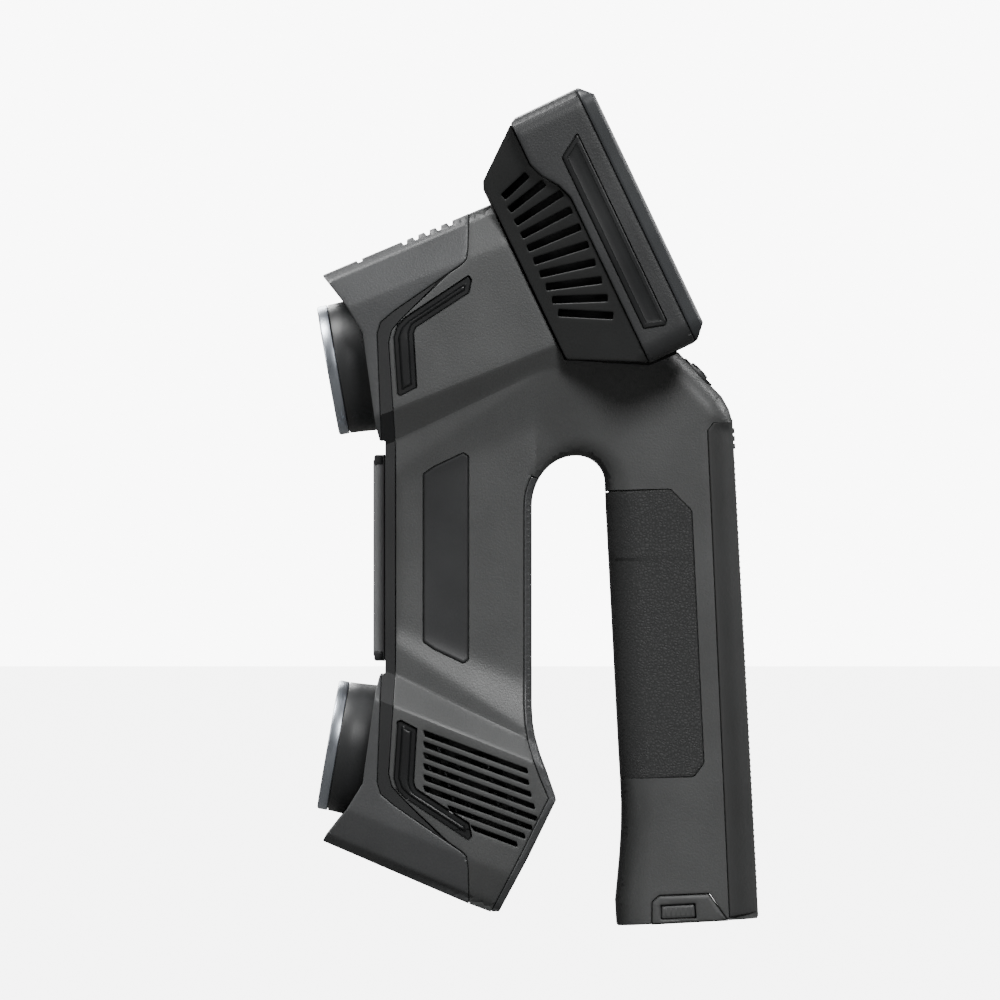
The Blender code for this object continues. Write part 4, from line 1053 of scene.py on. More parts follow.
def repeated(name, unit, count, start, step, turn=(0.0, 0.0, 0.0), finish=None, size=1.0):
    """Copies of a small shape at even steps along a line, each turned a little further, as one mesh."""
    tree = bpy.data.node_groups.new(name, "GeometryNodeTree")
    sockets = {}
    for label, kind in (
        ("Count", "NodeSocketInt"),
        ("Start", "NodeSocketVector"),
        ("Step", "NodeSocketVector"),
        ("Turn", "NodeSocketVector"),
        ("Size", "NodeSocketFloat"),
        ("Unit", "NodeSocketObject"),
        ("Finish", "NodeSocketMaterial"),
    ):
        sockets[label] = tree.interface.new_socket(
            label, in_out="INPUT", socket_type=kind
        ).identifier
    tree.interface.new_socket("Geometry", in_out="OUTPUT", socket_type="NodeSocketGeometry")
    given = add_node(tree, "NodeGroupInput").outputs
    line = add_node(
        tree,
        "GeometryNodeMeshLine",
        (),
        (),
        {"Count": given["Count"], "Start Location": given["Start"], "Offset": given["Step"]},
    )
    index = add_node(tree, "GeometryNodeInputIndex")
    turned_by = add_node(
        tree, "ShaderNodeVectorMath", {"operation": "SCALE"}, (), {
            "Vector": given["Turn"], "Scale": index.outputs["Index"]
        }
    )
    item = add_node(tree, "GeometryNodeObjectInfo", (), (), {"Object": given["Unit"]})
    placed = add_node(
        tree,
        "GeometryNodeInstanceOnPoints",
        (),
        (),
        {
            "Points": line.outputs["Mesh"],
            "Instance": item.outputs["Geometry"],
            "Rotation": turned_by.outputs["Vector"],
            "Scale": given["Size"],
        },
    )
    real = add_node(
        tree, "GeometryNodeRealizeInstances", (), (), {"Geometry": placed.outputs["Instances"]}
    )
    coated = add_node(
        tree, "GeometryNodeSetMaterial", (), (), {
            "Geometry": real.outputs["Geometry"], "Material": given["Finish"]
        }
    )
    add_node(tree, "NodeGroupOutput", (), (), {"Geometry": coated.outputs["Geometry"]})
    holder = bpy.data.objects.new(name, bpy.data.meshes.new(name))
    bpy.context.scene.collection.objects.link(holder)
    modifier = holder.modifiers.new("copies", "NODES")
    modifier.node_group = tree
    values = {
        "Count": count,
        "Start": start,
        "Step": step,
        "Turn": turn,
        "Size": size,
        "Unit": unit,
        "Finish": finish,
    }
    for label, value in values.items():
        modifier[sockets[label]] = value
    bpy.context.view_layer.update()
    mesh = bpy.data.meshes.new_from_object(
        holder.evaluated_get(bpy.context.evaluated_depsgraph_get())
    )
    mesh.name = name
    holder.modifiers.clear()
    holder.data = mesh
    bpy.data.objects.remove(unit, do_unlink=True)
    return holder


def bevelled_block(name, low, high, width=0.3, segments=2):
    """A block with rounded edges, between two corners."""
    made = bmesh.new()
    bmesh.ops.create_cube(made, size=1.0)
    for vert in made.verts:
        share = [c + 0.5 for c in vert.co]
        vert.co = [(a + (b - a) * t) * MM for a, b, t in zip(low, high, share)]
    bmesh.ops.bevel(
        made, geom=made.edges, offset=width * MM, segments=segments, affect="EDGES", profile=0.5
    )
    return as_object(name, made)


def moved(piece, axes):
    """Turns and shifts a piece's mesh, and leaves its object at the origin."""
    piece.data.transform(axes)
    piece.data.update()
    return piece


def merged(name, *pieces):
    """One object from several, with all their meshes."""
    whole = bmesh.new()
    for piece in pieces:
        whole.from_mesh(piece.data)
        bpy.data.objects.remove(piece, do_unlink=True)
    return as_object(name, whole)


# Ribs 0.9 mm wide across the strip's flat back, 2.4 mm apart, and three larger teeth over them.
GRIP_LEAN = math.radians(3.0)
grip_axes = Matrix.Translation(
    ((63.9 + ORIGIN[0]) * MM, 0, (1.45 + ORIGIN[1]) * MM)
) @ Matrix.Rotation(-GRIP_LEAN, 4, "Y")
RIB_PITCH = 2.4
rib = bevelled_block("rib", (25.9, -6.5, -0.45), (27.15, 6.5, 0.45), 0.2)
ribs = repeated(
    "palm_ribs", rib, 74, (0, 0, 12.0 * MM), (0, 0, RIB_PITCH * MM), finish=strip_rubber
)
tooth = bevelled_block("tooth", (25.5, -7.0, -1.1), (27.6, 7.0, 1.1), 0.3)
teeth = repeated("palm_teeth", tooth, 3, (0, 0, 194.0 * MM), (0, 0, 3.2 * MM), finish=strip_rubber)
moved(ribs, grip_axes)
moved(teeth, grip_axes)
strip = merged("rear_strip_ribbed", strip_skin, ribs, teeth)
dressed(strip, "scanner", strip_rubber, "grip_rubber", "rear_strip")

# ------------------------------------------------------------------ battery, its cap and latches
# The cap closes the foot and slides out with the battery. Two sprung tabs, one in each side of
# the cap, hold it; their pads are ribbed for the fingertips.

cap_piece = outline(
    [
        foot_line(47.0),
        (47.1, 9.5, 1.8),
        (50.1, 12.0, 1.8),
        (70.0, 12.8, 1.0),
        (77.2, 3.0),
        foot_line(77.8),
    ],
    1.0,
)
tab_hole = outline([(50.2, 8.4, 0.5), (64.6, 9.2, 0.5), (65.2, 2.9, 0.5), (50.5, 2.3, 0.5)], 1.0)
CAP_PROFILE = ((0.0, 0.4), (0.15, 0.15), (0.4, 0.0))
cap = pressed("cap_cover", [cap_piece, tab_hole], spacing=1.3, profile=CAP_PROFILE)
lip = pressed(
    "cap_lip",
    [drawn_in(cap_piece, -0.24), drawn_in(tab_hole, 0.2)],
    half=sunk(1.0),
    spacing=2.5,
    profile=((0.0, 0.1), (0.15, 0.0)),
)
core = pressed(
    "cap_core",
    [drawn_in(tab_hole, -0.8)],
    half=level(15.0),
    spacing=3.0,
    profile=((0.0, 0.1), (0.15, 0.0)),
)
cap = merged("battery_cap_cover", cap, lip, core)
dressed(cap, "battery", casing_nylon, "shell_plastic", "battery_cap")
tab_ring = outline([(50.7, 7.9, 0.8), (64.2, 8.6, 0.8), (64.6, 3.4, 0.8), (50.9, 2.8, 0.8)], 0.8)
for label, sign in (("left", -1), ("right", 1)):
    tab = pressed(
        f"latch_{label}_tab",
        [tab_ring],
        half=sunk(0.5),
        mid=17.8,
        profile=CAP_PROFILE,
        spacing=1.0,
        side=sign,
    )
    grip_line = bevelled_block("grip_line", (-0.35, -0.5, -1.7), (0.35, 0.25, 1.7), 0.15)
    lines_made = repeated(
        f"latch_{label}_ribs",
        grip_line,
        6,
        ((52.7 + ORIGIN[0]) * MM, sign * 20.4 * MM, (5.5 + ORIGIN[1]) * MM),
        (2.0 * MM, 0, 0.1 * MM),
        finish=casing_nylon,
    )
    tab = merged(f"latch_{label}_ribbed", tab, lines_made)
    dressed(tab, f"{label}_latch", casing_nylon, "shell_plastic", f"latch_{label}")

# ------------------------------------------------------------------ lens units
# A turned and anodised aluminium ring round a dark window, on a black conical barrel. Behind the
# window stand a ring of light-emitting diodes on its board and the camera's own lens.

SIDES = ("upper", "lower")
RING_RADIUS = 26.8
GLASS_RADIUS = 21.2


def metal(name, colour, roughness, tint=0.04):
    """Bare or anodised metal, with faint lathe or mill marks in its roughness."""
    made, tree, place = new_material(name)
    marks = noise(tree, place, 1500.0, 2.0)["Fac"]
    cloud = noise(tree, place, 45.0, 2.0)["Fac"]
    polish = spread(tree, marks, (0.3, 0.7), (roughness - 0.01, roughness + 0.01))
    wired(
        tree,
        shades(tree, cloud, colour, 1 - tint, 1 + tint),
        polish,
        marks,
        0.03,
        0.005,
        Metallic=1.0,
    )
    return made


def dark_glass(name, colour, roughness=0.05):
    """Glass with a dark infrared-pass coating, which reads as black with a clear gloss."""
    made, tree, place = new_material(name)
    tint = shades(tree, noise(tree, place, 20.0, 1.0)["Fac"], colour, 0.85, 1.15)
    wired(tree, tint, Roughness=roughness, IOR=1.52, Coat_Weight=0.5, Coat_Roughness=0.03)
    return made


ring_silver = metal("anodised aluminium ring", "B4BAC2", 0.34, 0.02)
barrel_black = moulded_plastic("matt black moulding", "2C2D2E", 0.42, 0.8, 0.04)
window_glass = dark_glass("infrared-pass glass", "0B0D12")
diode_clear = dark_glass("diode dome", "5A5F66", 0.12)
board_green = moulded_plastic("solder mask", "16402A", 0.42, 1.5, 0.01, patches=0.15)

RING_PROFILE = [
    (GLASS_RADIUS + 0.3, -0.5),
    (GLASS_RADIUS + 1.0, 0.0),
    (RING_RADIUS - 0.9, 0.0),
    (RING_RADIUS - 0.35, -0.2),
    (RING_RADIUS, -0.8),
    (RING_RADIUS, -4.0),
    (RING_RADIUS - 0.25, -4.3),
    (GLASS_RADIUS + 0.3, -4.3),
]
BARREL_PROFILE = [
    (25.9, -4.32),
    (25.9, -4.6),
    (26.55, -4.6),
    (26.75, -4.9),
    (27.05, -9.6),
    (27.45, -15.4),
    (27.55, -16.6),
    (18.0, -16.6),
    (18.0, -14.6),
    (24.0, -14.6),
    (24.0, -7.1),
    (21.6, -6.1),
    (21.6, -4.32),
]
GLASS_PROFILE = [(21.1, -2.7), (20.8, -2.4), (9.9, -2.4), (9.6, -2.7), (9.6, -3.8), (21.1, -3.8)]
CAMERA_PROFILE = [
    (0.0, -3.6),
    (1.6, -3.75),
    (3.2, -4.2),
    (4.6, -4.9),
    (4.9, -5.3),
    (6.1, -4.0),
    (6.9, -3.2),
    (8.7, -2.9),
    (9.2, -3.2),
    (9.2, -33.0),
    (0.0, -33.0),
]
for side in SIDES:
    axes = lens_axes(side)
    ring = turned(f"lens_ring_{side}_turned", RING_PROFILE, axes, 160)
    dressed(ring, "scanner", ring_silver, "lens_silver", f"lens_ring_{side}")
    barrel = turned(f"lens_barrel_{side}_cone", BARREL_PROFILE, axes, 160)
    dressed(barrel, "scanner", barrel_black, "black_plastic", f"lens_barrel_{side}")
    glass = turned(f"ring_glass_{side}_window", GLASS_PROFILE, axes, 96)
    dressed(glass, "scanner", window_glass, "window_glass", f"ring_glass_{side}")
    eye = turned(f"camera_{side}_lens", CAMERA_PROFILE, axes, 72)
    body = moved(bevelled_block("body", (-12.5, -12.5, -58.0), (12.5, 12.5, -33.0), 1.0), axes)
    camera_piece = merged(f"camera_{side}_unit", eye, body)
    dressed(camera_piece, "scanner", barrel_black, "black_plastic", f"camera_{side}")
    dome = turned("dome", [(0.0, 1.9), (0.9, 1.65), (1.35, 1.0), (1.4, 0.0), (0.0, 0.0)], None, 14)
    moved(dome, Matrix.Translation((16.3 * MM, 0, -8.6 * MM)))
    diodes = repeated(
        f"diodes_{side}", dome, 16, (0, 0, 0), (0, 0, 0), (0, 0, math.pi / 8), diode_clear
    )
    moved(diodes, axes)
    dressed(diodes, "scanner", diode_clear, "window_glass")

# ------------------------------------------------------------------ projector block
# The grey block between the lenses: a moulded bezel round a long dark window, through which a laser
# module on each side of a colour camera looks out. Black caps on its chamfered ends paint the shade there.

CHAMFER = 2.4
BLOCK = [
    (-62.7, MIDDLE - 42.3),
    (-64.9, MIDDLE - 42.2, 0.6),
    (-67.4, MIDDLE - 42.3 + CHAMFER, 0.6),
    (-67.4, MIDDLE + 42.3 - CHAMFER, 0.6),
    (-64.9, MIDDLE + 42.2, 0.6),
    (-62.7, MIDDLE + 42.3),
]


def block_half(x, z):
    """Half width of the block: its sides lean in a little towards the front."""
    return 24.0 - np.maximum(0.0, -x - 65.6) * 0.5


block_grey = moulded_plastic("grey moulded bezel", "6F7071", 0.42, 0.7, 0.04)
block = pressed("projector_bezel_block", [outline(BLOCK, 1.2)], half=block_half, spacing=1.2)
window_room = bevelled_block(
    "room", (-90.0, -16.3, MIDDLE - 35.3), (-65.2, 16.3, MIDDLE + 35.3), 1.2, 3
)
shift_origin = Matrix.Translation((ORIGIN[0] * MM, 0, ORIGIN[1] * MM))
cut_away(block, moved(window_room, shift_origin))
cut_away(
    block,
    moved(
        bevelled_block("room", (-90.0, -13.0, MIDDLE - 34.0), (-50.0, 13.0, MIDDLE + 34.0), 1.2, 3),
        shift_origin,
    ),
)
dressed(block, "scanner", block_grey, "shell_plastic", "projector_bezel")
pane = moved(
    bevelled_block(
        "projector_window_pane", (-66.9, -16.0, MIDDLE - 35.0), (-65.5, 16.0, MIDDLE + 35.0), 0.3
    ),
    shift_origin,
)
dressed(pane, "scanner", window_glass, "window_glass", "projector_window")
# Black caps over the block's chamfered ends: painted shade where the ends turn away from the light.
painted_shade_end_caps = []
for sign in (-1, 1):
    low, high = sorted((MIDDLE + sign * 42.25, MIDDLE + sign * 37.8))
    painted_shade_end_caps.append(
        moved(
            bevelled_block("end", (-67.05, -24.15, low), (-62.75, 24.15, high), 0.9, 2),
            shift_origin,
        )
    )
ends = merged("projector_end_caps", *painted_shade_end_caps)
dressed(ends, "scanner", barrel_black, "black_plastic")

# ------------------------------------------------------------------ display head: frame and bezel
# A tray of the casing's nylon with rounded corners, a flat black bezel screwed to it round the
# screen, and a long satin inlay in each side. The tray's front edge dips behind the louvres.

HEAD_LEAN = math.radians(64.5)
head_place = Matrix.Translation(((39.7 + ORIGIN[0]) * MM, 0, (290.6 + ORIGIN[1]) * MM))
head_axes = head_place @ Matrix.Rotation(HEAD_LEAN, 4, "Y")
HEAD_HALF = 66.0
HEAD_END = 56.8  # from the head's middle to its top and bottom
CORNER = 8.0
tray_nylon = moulded_plastic("textured nylon tray", "2E2F30", 0.42, 0.8, 0.12)
bezel_satin = moulded_plastic("satin bezel moulding", "343638", 0.36, 0.8, 0.02, patches=0.05)


def corner_fall(x, radius):
    """How far a side has fallen where it rounds into the head's top and bottom ends."""
    inside = np.clip(radius - (HEAD_END - np.abs(x)), 0.0, radius)
    return radius - np.sqrt(radius**2 - inside**2)


def tray_half(x, z):
    return HEAD_HALF - corner_fall(x, CORNER) - 0.02 * np.maximum(0.0, -z)


S_CURVE = [(-17.5, -20.7, 5.0), (-24.0, -23.0, 3.0), (-30.5, -27.6, 3.0), (-36.5, -29.8, 5.0)]
ALL_HEAD = outline([(-80, -60), (-80, 20), (80, 20), (80, -60)], 400)
TRAY = [
    (56.8, -0.35),
    (56.8, -20.0, 0.8),
    (56.2, -20.7),
    *S_CURVE,
    (-55.4, -29.8, 0.8),
    (-56.8, -27.2, 0.8),
    (-56.8, -0.35),
]
tray_room = outline([(53.6, 4.0), (53.6, -40.0), (-53.6, -40.0), (-53.6, 4.0)], 3.0)
HEAD_TRIM = [
    (46.2, -8.4, 1.2),
    (43.6, -17.4, 1.2),
    (-34.0, -17.4, 1.5),
    (-40.6, -6.9, 1.0),
    (44.4, -6.9, 1.2),
]
head_trim_ring = outline(HEAD_TRIM, 1.2)
tray = pressed(
    "head_frame_tray",
    [outline(TRAY, 1.5)],
    half=tray_half,
    hollow=tray_room,
    wall=2.8,
    axes=head_axes,
    pockets=[(head_trim_ring, 1.3)],
    profile=((0.0, 0.5), (0.2, 0.2), (0.5, 0.05), (0.9, 0.0)),
)
dressed(tray, "scanner", tray_nylon, "shell_plastic", "head_frame")
for label, sign in (("left", -1), ("right", 1)):
    inlay = pressed(
        f"head_trim_{label}_inlay",
        [drawn_in(head_trim_ring, 0.3)],
        half=lambda x, z: tray_half(x, z) - 0.35,
        hollow=ALL_HEAD,
        wall=0.8,
        mid=0.0,
        axes=head_axes,
        profile=((0.0, 0.5), (0.3, 0.1), (0.7, 0.0), (1.8, 0.0), (2.2, 0.3), (2.5, 0.35)),
        side=sign,
    )
    dressed(inlay, "scanner", trim_black, "dark_trim", f"head_trim_{label}")

# A black strip of painted shade in the seam between the tray and the bezel.
seam_shade_strip("screen_gasket", [(-56.0, -0.17), (56.0, -0.17)], half=tray_half, axes=head_axes)
BEZEL = [
    (56.8, 0.0),
    (56.8, 0.9, 0.5),
    (51.4, 5.9, 0.8),
    (-51.4, 5.9, 0.8),
    (-56.8, 0.9, 0.5),
    (-56.8, 0.0),
]


def bezel_half(x, z):
    return HEAD_HALF - corner_fall(x, CORNER) - np.maximum(0.0, z - 4.6) * 0.9


bezel = pressed(
    "head_bezel_plate",
    [outline(BEZEL, 1.2)],
    half=bezel_half,
    axes=head_axes,
    spacing=1.3,
    profile=((0.0, 0.4), (0.15, 0.15), (0.4, 0.0)),
)


def rounded_plate(name, half_x, half_y, low, high, radius, edge=0.3):
    """A flat plate with round corners and softened edges, in the head's axes."""
    made = bmesh.new()
    corners = []
    for sx, sy, start in ((1, 1, 0), (-1, 1, 90), (-1, -1, 180), (1, -1, 270)):
        centre = (sx * (half_x - radius), sy * (half_y - radius))
        corners += arc(centre, (radius, radius), start, start + 90, 10)
    ring = [made.verts.new((x * MM, y * MM, low * MM)) for x, y in corners]
    base = made.faces.new(ring)
    lifted = bmesh.ops.extrude_face_region(made, geom=[base])["geom"]
    bmesh.ops.translate(
        made, vec=(0, 0, (high - low) * MM), verts=[
            v for v in lifted if isinstance(v, bmesh.types.BMVert)
        ]
    )
    bmesh.ops.recalc_face_normals(made, faces=made.faces)
    rim = [e for e in made.edges if abs(e.verts[0].co.z - e.verts[1].co.z) < 1e-7]
    bmesh.ops.bevel(made, geom=rim, offset=edge * MM, segments=2, affect="EDGES", profile=0.5)
    return as_object(name, made, head_axes)


SCREEN = (46.0, 58.5)
cut_away(bezel, rounded_plate("opening", SCREEN[0] - 2.0, SCREEN[1] - 2.0, -5.0, 20.0, 3.0, 0.01))
cut_away(bezel, rounded_plate("seat", SCREEN[0] + 0.25, SCREEN[1] + 0.25, 4.0, 20.0, 4.25, 0.01))
dressed(bezel, "scanner", bezel_satin, "dark_trim", "head_bezel")
screen_glass = rounded_plate("display_cover_glass", *SCREEN, 4.3, 5.7, 4.0, 0.35)
dressed(screen_glass, "scanner", window_glass, "window_glass", "display_glass")
picture_area = rounded_plate("display_active_area", 38.5, 54.0, 5.62, 5.72, 0.8, 0.02)
panel_black = dark_glass("liquid-crystal panel, off", "12161C", 0.09)
dressed(picture_area, "scanner", panel_black, "window_glass")

# ------------------------------------------------------------------ display head: louvred housing
# The black moulding that joins the head to the body. Its sides taper in and carry ten slots each,
# fanned round the fan behind them, and four socket screws hold it to the tray.

housing_black = moulded_plastic("matt black glass-filled nylon", "222323", 0.48, 0.7, 0.06)


def taper_half(x, z):
    """Half width of the tapered housing: 65 mm at the tray and 46 mm where it meets the body."""
    taper = 65.0 - 0.5956 * np.maximum(0.0, -18.7 - z)
    return soft_min(taper, 64.6 - corner_fall(x, CORNER), 1.0)


FUNNEL = [
    (56.4, -21.1, 0.6),
    (41.2, -50.0, 1.0),
    (40.0, -50.6, 0.6),
    (-38.2, -50.6, 1.0),
    (-39.4, -50.0, 0.6),
    (-54.8, -30.6, 0.6),
    (-54.8, -30.2),
    *[(x, z - 0.35, *r) for x, z, *r in reversed(S_CURVE)],
]
vent_seam = [(x, z - 0.17) for x, z, *_ in ((55.8, -20.7), *S_CURVE, (-54.0, -29.8))]
# A black strip of painted shade in the seam between the tray and the louvred housing.
seam_shade_strip("tray_gasket", vent_seam, half=taper_half, axes=head_axes)
louvres = []
for index in range(10):
    foot = Vector((-29.8 + 5.8 * index, -45.5))
    fan = math.radians(17.0 - 46.0 * index / 9)
    run = Vector((-math.sin(fan), math.cos(fan)))
    across = Vector((run.y, -run.x)) * 1.5
    length = (13.4, 18.0, 22.6, 22.8, 23.2, 23.2, 23.0, 22.8, 22.6, 22.4)[index]
    tip = foot + run * length
    louvres.append(
        outline(
            [
                (*(foot - across), 0.6),
                (*(foot + across), 0.6),
                (*(tip + across), 0.6),
                (*(tip - across), 0.6),
            ],
            1.4,
        )
    )
funnel_room = outline(
    [(53.4, -15.0), (38.6, -48.0), (-36.8, -48.0), (-51.8, -28.6), (-52.5, -15.0)], 3.0
)
funnel = pressed(
    "head_front_housing_louvred",
    [outline(FUNNEL, 1.4), *louvres],
    half=taper_half,
    hollow=funnel_room,
    wall=2.6,
    axes=head_axes,
    spacing=1.5,
)
dressed(funnel, "scanner", housing_black, "black_plastic", "head_front_housing")
# A near-black thin sheet behind each side's slots: painted shade, which keeps the inside of the housing dark
# behind the louvres.
louvre_shade_black = moulded_plastic("black duct sheet", "0C0D0E", 0.55, 1.0, 0.02)
louvre_shade_outline = outline(
    [(52.6, -22.5), (38.2, -47.6), (-36.4, -47.6), (-50.8, -29.4), (-50.8, -22.5)], 3.0
)
for label, sign in (("left", -1), ("right", 1)):
    louvre_shade_sheet = pressed(
        f"head_duct_{label}",
        [louvre_shade_outline],
        half=lambda x, z: taper_half(x, z) - 10.0,
        hollow=ALL_HEAD,
        wall=0.8,
        mid=0.0,
        axes=head_axes,
        spacing=4.0,
        side=sign,
    )
    dressed(louvre_shade_sheet, "scanner", louvre_shade_black, "black_plastic")

# Socket screws: turned steel heads with a round socket, each square to the wall it holds.
SCREW_RADIUS = 2.6
screw_steel = metal("blackened steel screw", "5B5C5E", 0.38)
SCREWS = (("upper", -51.35, -32.65, 232.5), ("lower", 50.03, -29.6, 116.6))
for label, x, z, lean in SCREWS:
    for hand, sign in (("left", -1), ("right", 1)):
        profile = [
            (0.0, -1.5),
            (1.25, -1.4),
            (1.35, -0.15),
            (SCREW_RADIUS - 0.6, 0.0),
            (SCREW_RADIUS - 0.1, -0.35),
            (SCREW_RADIUS, -0.8),
            (SCREW_RADIUS, -1.6),
            (1.5, -1.6),
            (1.5, -5.0),
            (0.0, -5.0),
        ]
        seat = Matrix.Translation(
            (x * MM, sign * 53.0 * MM, z * MM)
        ) @ Matrix.Rotation(math.radians(lean), 4, "Y")
        screw = turned(f"head_screw_{label}_{hand}_socket", profile, head_axes @ seat, 36)
        dressed(screw, "scanner", screw_steel, "machined_aluminium", f"head_screw_{label}_{hand}")
        pit = turned(
            "pit", [(0.0, 14.0), (3.1, 14.0), (2.9, -6.0), (0.0, -6.0)], head_axes @ seat, 40
        )
        cut_away(funnel, pit)
        boss = turned(
            f"head_boss_{label}_{hand}",
            [
                (2.87, 0.2),
                (2.87, -1.75),
                (1.7, -1.75),
                (1.7, -5.5),
                (3.6, -5.5),
                (3.6, -0.4),
                (2.95, 0.2),
            ],
            head_axes @ seat,
            40,
        )
        dressed(boss, "scanner", housing_black, "black_plastic")

# ------------------------------------------------------------------ keypad on the shoulder
# A satin moulded panel let into the grip's shoulder, with one large round key to scan and a
# smaller one on each side of it for up and down. The keys are dished silicone-coated caps.

SLOPE = Vector((75.6 - 57.6, 0, 217.0 - 235.3)).normalized()
keypad_place = Matrix.Translation(((65.8 + ORIGIN[0]) * MM, 0, (226.85 + ORIGIN[1]) * MM))
keypad_axes = keypad_place @ Matrix.Rotation(math.atan2(-SLOPE.z, SLOPE.x), 4, "Y")
key_rubber = moulded_plastic("silicone-coated key", "3A3B3C", 0.52, 0.6, 0.02)


def softened(node, name, width, segments=2, angle=30.0):
    """A copy of one of the frame's pieces with its loose triangles merged and its edges rounded."""
    made = bmesh.new()
    made.from_mesh(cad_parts[node].data)
    bmesh.ops.remove_doubles(made, verts=made.verts, dist=1e-6)
    bmesh.ops.dissolve_limit(
        made, angle_limit=math.radians(0.5), verts=made.verts, edges=made.edges
    )
    copy = as_object(name, made, angle=None)
    bevel = copy.modifiers.new("edges", "BEVEL")
    bevel.width = width * MM
    bevel.segments = segments
    bevel.limit_method = "ANGLE"
    bevel.angle_limit = math.radians(angle)
    bpy.context.view_layer.update()
    rounded = bpy.data.meshes.new_from_object(
        copy.evaluated_get(bpy.context.evaluated_depsgraph_get())
    )
    copy.modifiers.clear()
    copy.data = rounded
    rounded.name = name
    rounded.shade_smooth()
    rounded.set_sharp_from_angle(angle=math.radians(40))
    return copy


panel = softened("keypad_frame", "keypad_panel", 0.35)
dressed(panel, "scanner", trim_black, "dark_trim", "keypad_frame")
KEYS = (
    ("up_button", "up_key", -10.8, 2.9),
    ("scan_button", "scan_key", 0.0, 4.4),
    ("down_button", "down_key", 10.8, 2.9),
)
KEY_TOP = 1.8
for node, body, y, radius in KEYS:
    profile = [
        (0.0, KEY_TOP - 0.45),
        (radius * 0.35, KEY_TOP - 0.4),
        (radius * 0.62, KEY_TOP - 0.2),
        (radius - 0.75, KEY_TOP),
        (radius - 0.25, KEY_TOP - 0.12),
        (radius, KEY_TOP - 0.5),
        (radius, -1.9),
        (radius + 1.0, -1.9),
        (radius + 1.0, -2.9),
        (0.0, -2.9),
    ]
    key = turned(f"{node}_cap", profile, keypad_axes, 64, (0.0, y))
    if body != "scan_key":
        # A raised chevron on each small key, pointing away from the middle.
        sign = math.copysign(1.0, y)
        arms = []
        for lean in (-1, 1):
            arm = bevelled_block("arm", (-0.22, -1.15, -0.15), (0.22, 1.15, 0.25), 0.12)
            turn = Matrix.Rotation(lean * math.radians(42), 4, "Z")
            at = Matrix.Translation(
                (lean * -0.68 * sign * MM, (y + 0.1 * sign) * MM, (KEY_TOP - 0.3) * MM)
            )
            arms.append(moved(arm, keypad_axes @ at @ turn))
        key = merged(f"{node}_marked", key, *arms)
    dressed(key, body, key_rubber, "dark_trim", node)

# ------------------------------------------------------------------ bulkhead and vent screen
# The black bulkhead keeps the frame's own shape. Behind the lower vent a ribbed grey screen
# stops dust; its ribs cross the slots at a slant.

bulkhead_black = moulded_plastic("matt black bulkhead", "191A1B", 0.5, 0.8, 0.04)
screen_grey = moulded_plastic("grey vent screen", "3C3D3F", 0.55, 0.9, 0.03)
front_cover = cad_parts["front_cover"]
front_cover.data.materials.clear()
front_cover.data.materials.append(bulkhead_black)
for label, sign in (("left", -1), ("right", 1)):
    sheet_ring = outline(
        down([(-48.4, -9.8), (-3.6, 0.0), (3.4, 22.0), (-5.0, 39.0), (-48.4, 30.0)]), 3.0
    )
    backing = pressed(
        f"vent_screen_{label}", [sheet_ring], half=level(32.0), mid=31.0, side=sign, spacing=4.0
    )
    bar = bevelled_block("bar", (-0.6, -1.6, -17.0), (0.6, 0.4, 17.0), 0.25)
    moved(bar, Matrix.Rotation(math.radians(-16.0), 4, "Y"))
    bars = repeated(
        f"vent_bars_{label}",
        bar,
        6,
        ((-44.0 + ORIGIN[0]) * MM, sign * 33.0 * MM, (LOWER - 10.0 + ORIGIN[1]) * MM),
        (6.4 * MM, 0, -1.4 * MM),
        finish=screen_grey,
    )
    backing = merged(f"vent_screen_{label}_ribbed", backing, bars)
    dressed(backing, "scanner", screen_grey, "shell_plastic")

# ------------------------------------------------------------------ fans, heat sink and boards
# What shows through the louvres and the vent, and what is sealed inside: fans with curved blades,
# an extruded aluminium heat sink, green boards, a wrapped battery and the stiff camera bar.

fan_black = moulded_plastic("fan moulding", "17181A", 0.45, 1.2, 0.02)
bar_aluminium = metal("milled aluminium", "9A9C9E", 0.36)
wrap_blue = moulded_plastic("heat-shrink wrap", "232A38", 0.3, 4.0, 0.02)
STAYING = {
    "head_fan_frame": fan_black,
    "body_fan_frame": fan_black,
    "battery_contacts": barrel_black,
    "texture_camera": barrel_black,
    "display_panel": barrel_black,
    "camera_bar": bar_aluminium,
    "heatsink": bar_aluminium,
    "laser_module_upper": bar_aluminium,
    "laser_module_lower": bar_aluminium,
    "main_board": board_green,
    "power_board": board_green,
    "display_board": board_green,
    "keypad_board": board_green,
    "led_board_upper": board_green,
    "led_board_lower": board_green,
}
for node, finish in STAYING.items():
    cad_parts[node].data.materials.clear()
    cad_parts[node].data.materials.append(finish)
cells = softened("battery_pack", "battery_pack_wrapped", 0.8, 3)
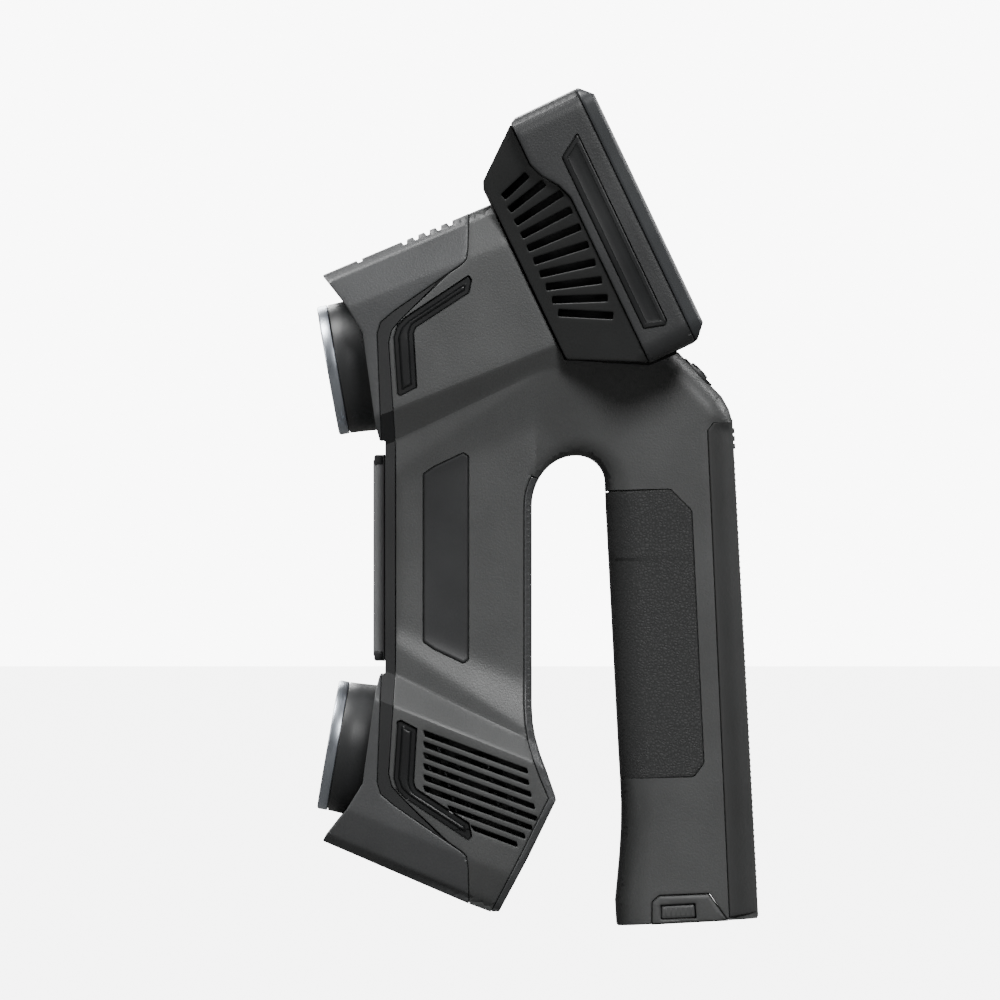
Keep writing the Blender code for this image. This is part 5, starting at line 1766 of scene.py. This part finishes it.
dressed(cells, "battery", wrap_blue, "battery_wrap", "battery_pack")


def fan_blade(name, inner, outer, low, high):
    """One blade, twisted from hub to tip and curved along its chord."""
    made = bmesh.new()
    rows = []
    for i in range(7):
        t = i / 6
        radius = inner + (outer - inner) * t
        lean = math.radians(46.0 - 16.0 * t)
        row = []
        for j in range(5):
            s = j / 4 - 0.5
            chord = radius * 0.62
            around = s * chord * math.cos(lean) / radius
            height = (low + high) / 2 + s * min(
                chord * math.sin(lean), high - low - 0.4
            ) + 0.5 * (0.25 - s * s)
            row.append(
                made.verts.new(
                    (radius * math.cos(around) * MM, radius * math.sin(around) * MM, height * MM)
                )
            )
        rows.append(row)
    for a, b in zip(rows, rows[1:]):
        for j in range(4):
            made.faces.new((a[j], b[j], b[j + 1], a[j + 1]))
    bmesh.ops.solidify(made, geom=made.faces, thickness=0.7 * MM)
    bmesh.ops.recalc_face_normals(made, faces=made.faces)
    return as_object(name, made, angle=None)


BLADES = 7
for name, half_size, place in (
    ("head_fan", 22.0, head_axes @ Matrix.Translation((0, 0, -38.0 * MM))),
    (
        "body_fan",
        16.0,
        Matrix.Translation(((-26.0 + ORIGIN[0]) * MM, -33.5 * MM, (LOWER - 16.0 + ORIGIN[1]) * MM))
        @ Matrix.Rotation(math.radians(20.4), 4, "Y")
        @ Matrix.Rotation(math.pi / 2, 4, "X"),
    ),
):
    hub_radius = half_size * 0.42
    hub = turned(
        "hub",
        [(0.0, 4.1), (hub_radius - 0.8, 4.1), (hub_radius, 3.4), (hub_radius, -2.2), (0.0, -2.2)],
        place,
        48,
    )
    blade = fan_blade("blade", hub_radius - 0.4, half_size - 2.9, -1.9, 3.8)
    blades = moved(
        repeated(
            f"{name}_blades",
            blade,
            BLADES,
            (0, 0, 0),
            (0, 0, 0),
            (0, 0, 2 * math.pi / BLADES),
            fan_black,
        ), place
    )
    wheel = merged(f"{name}_wheel", hub, blades)
    dressed(wheel, f"{name}_wheel", fan_black, "black_plastic", f"{name}_impeller")
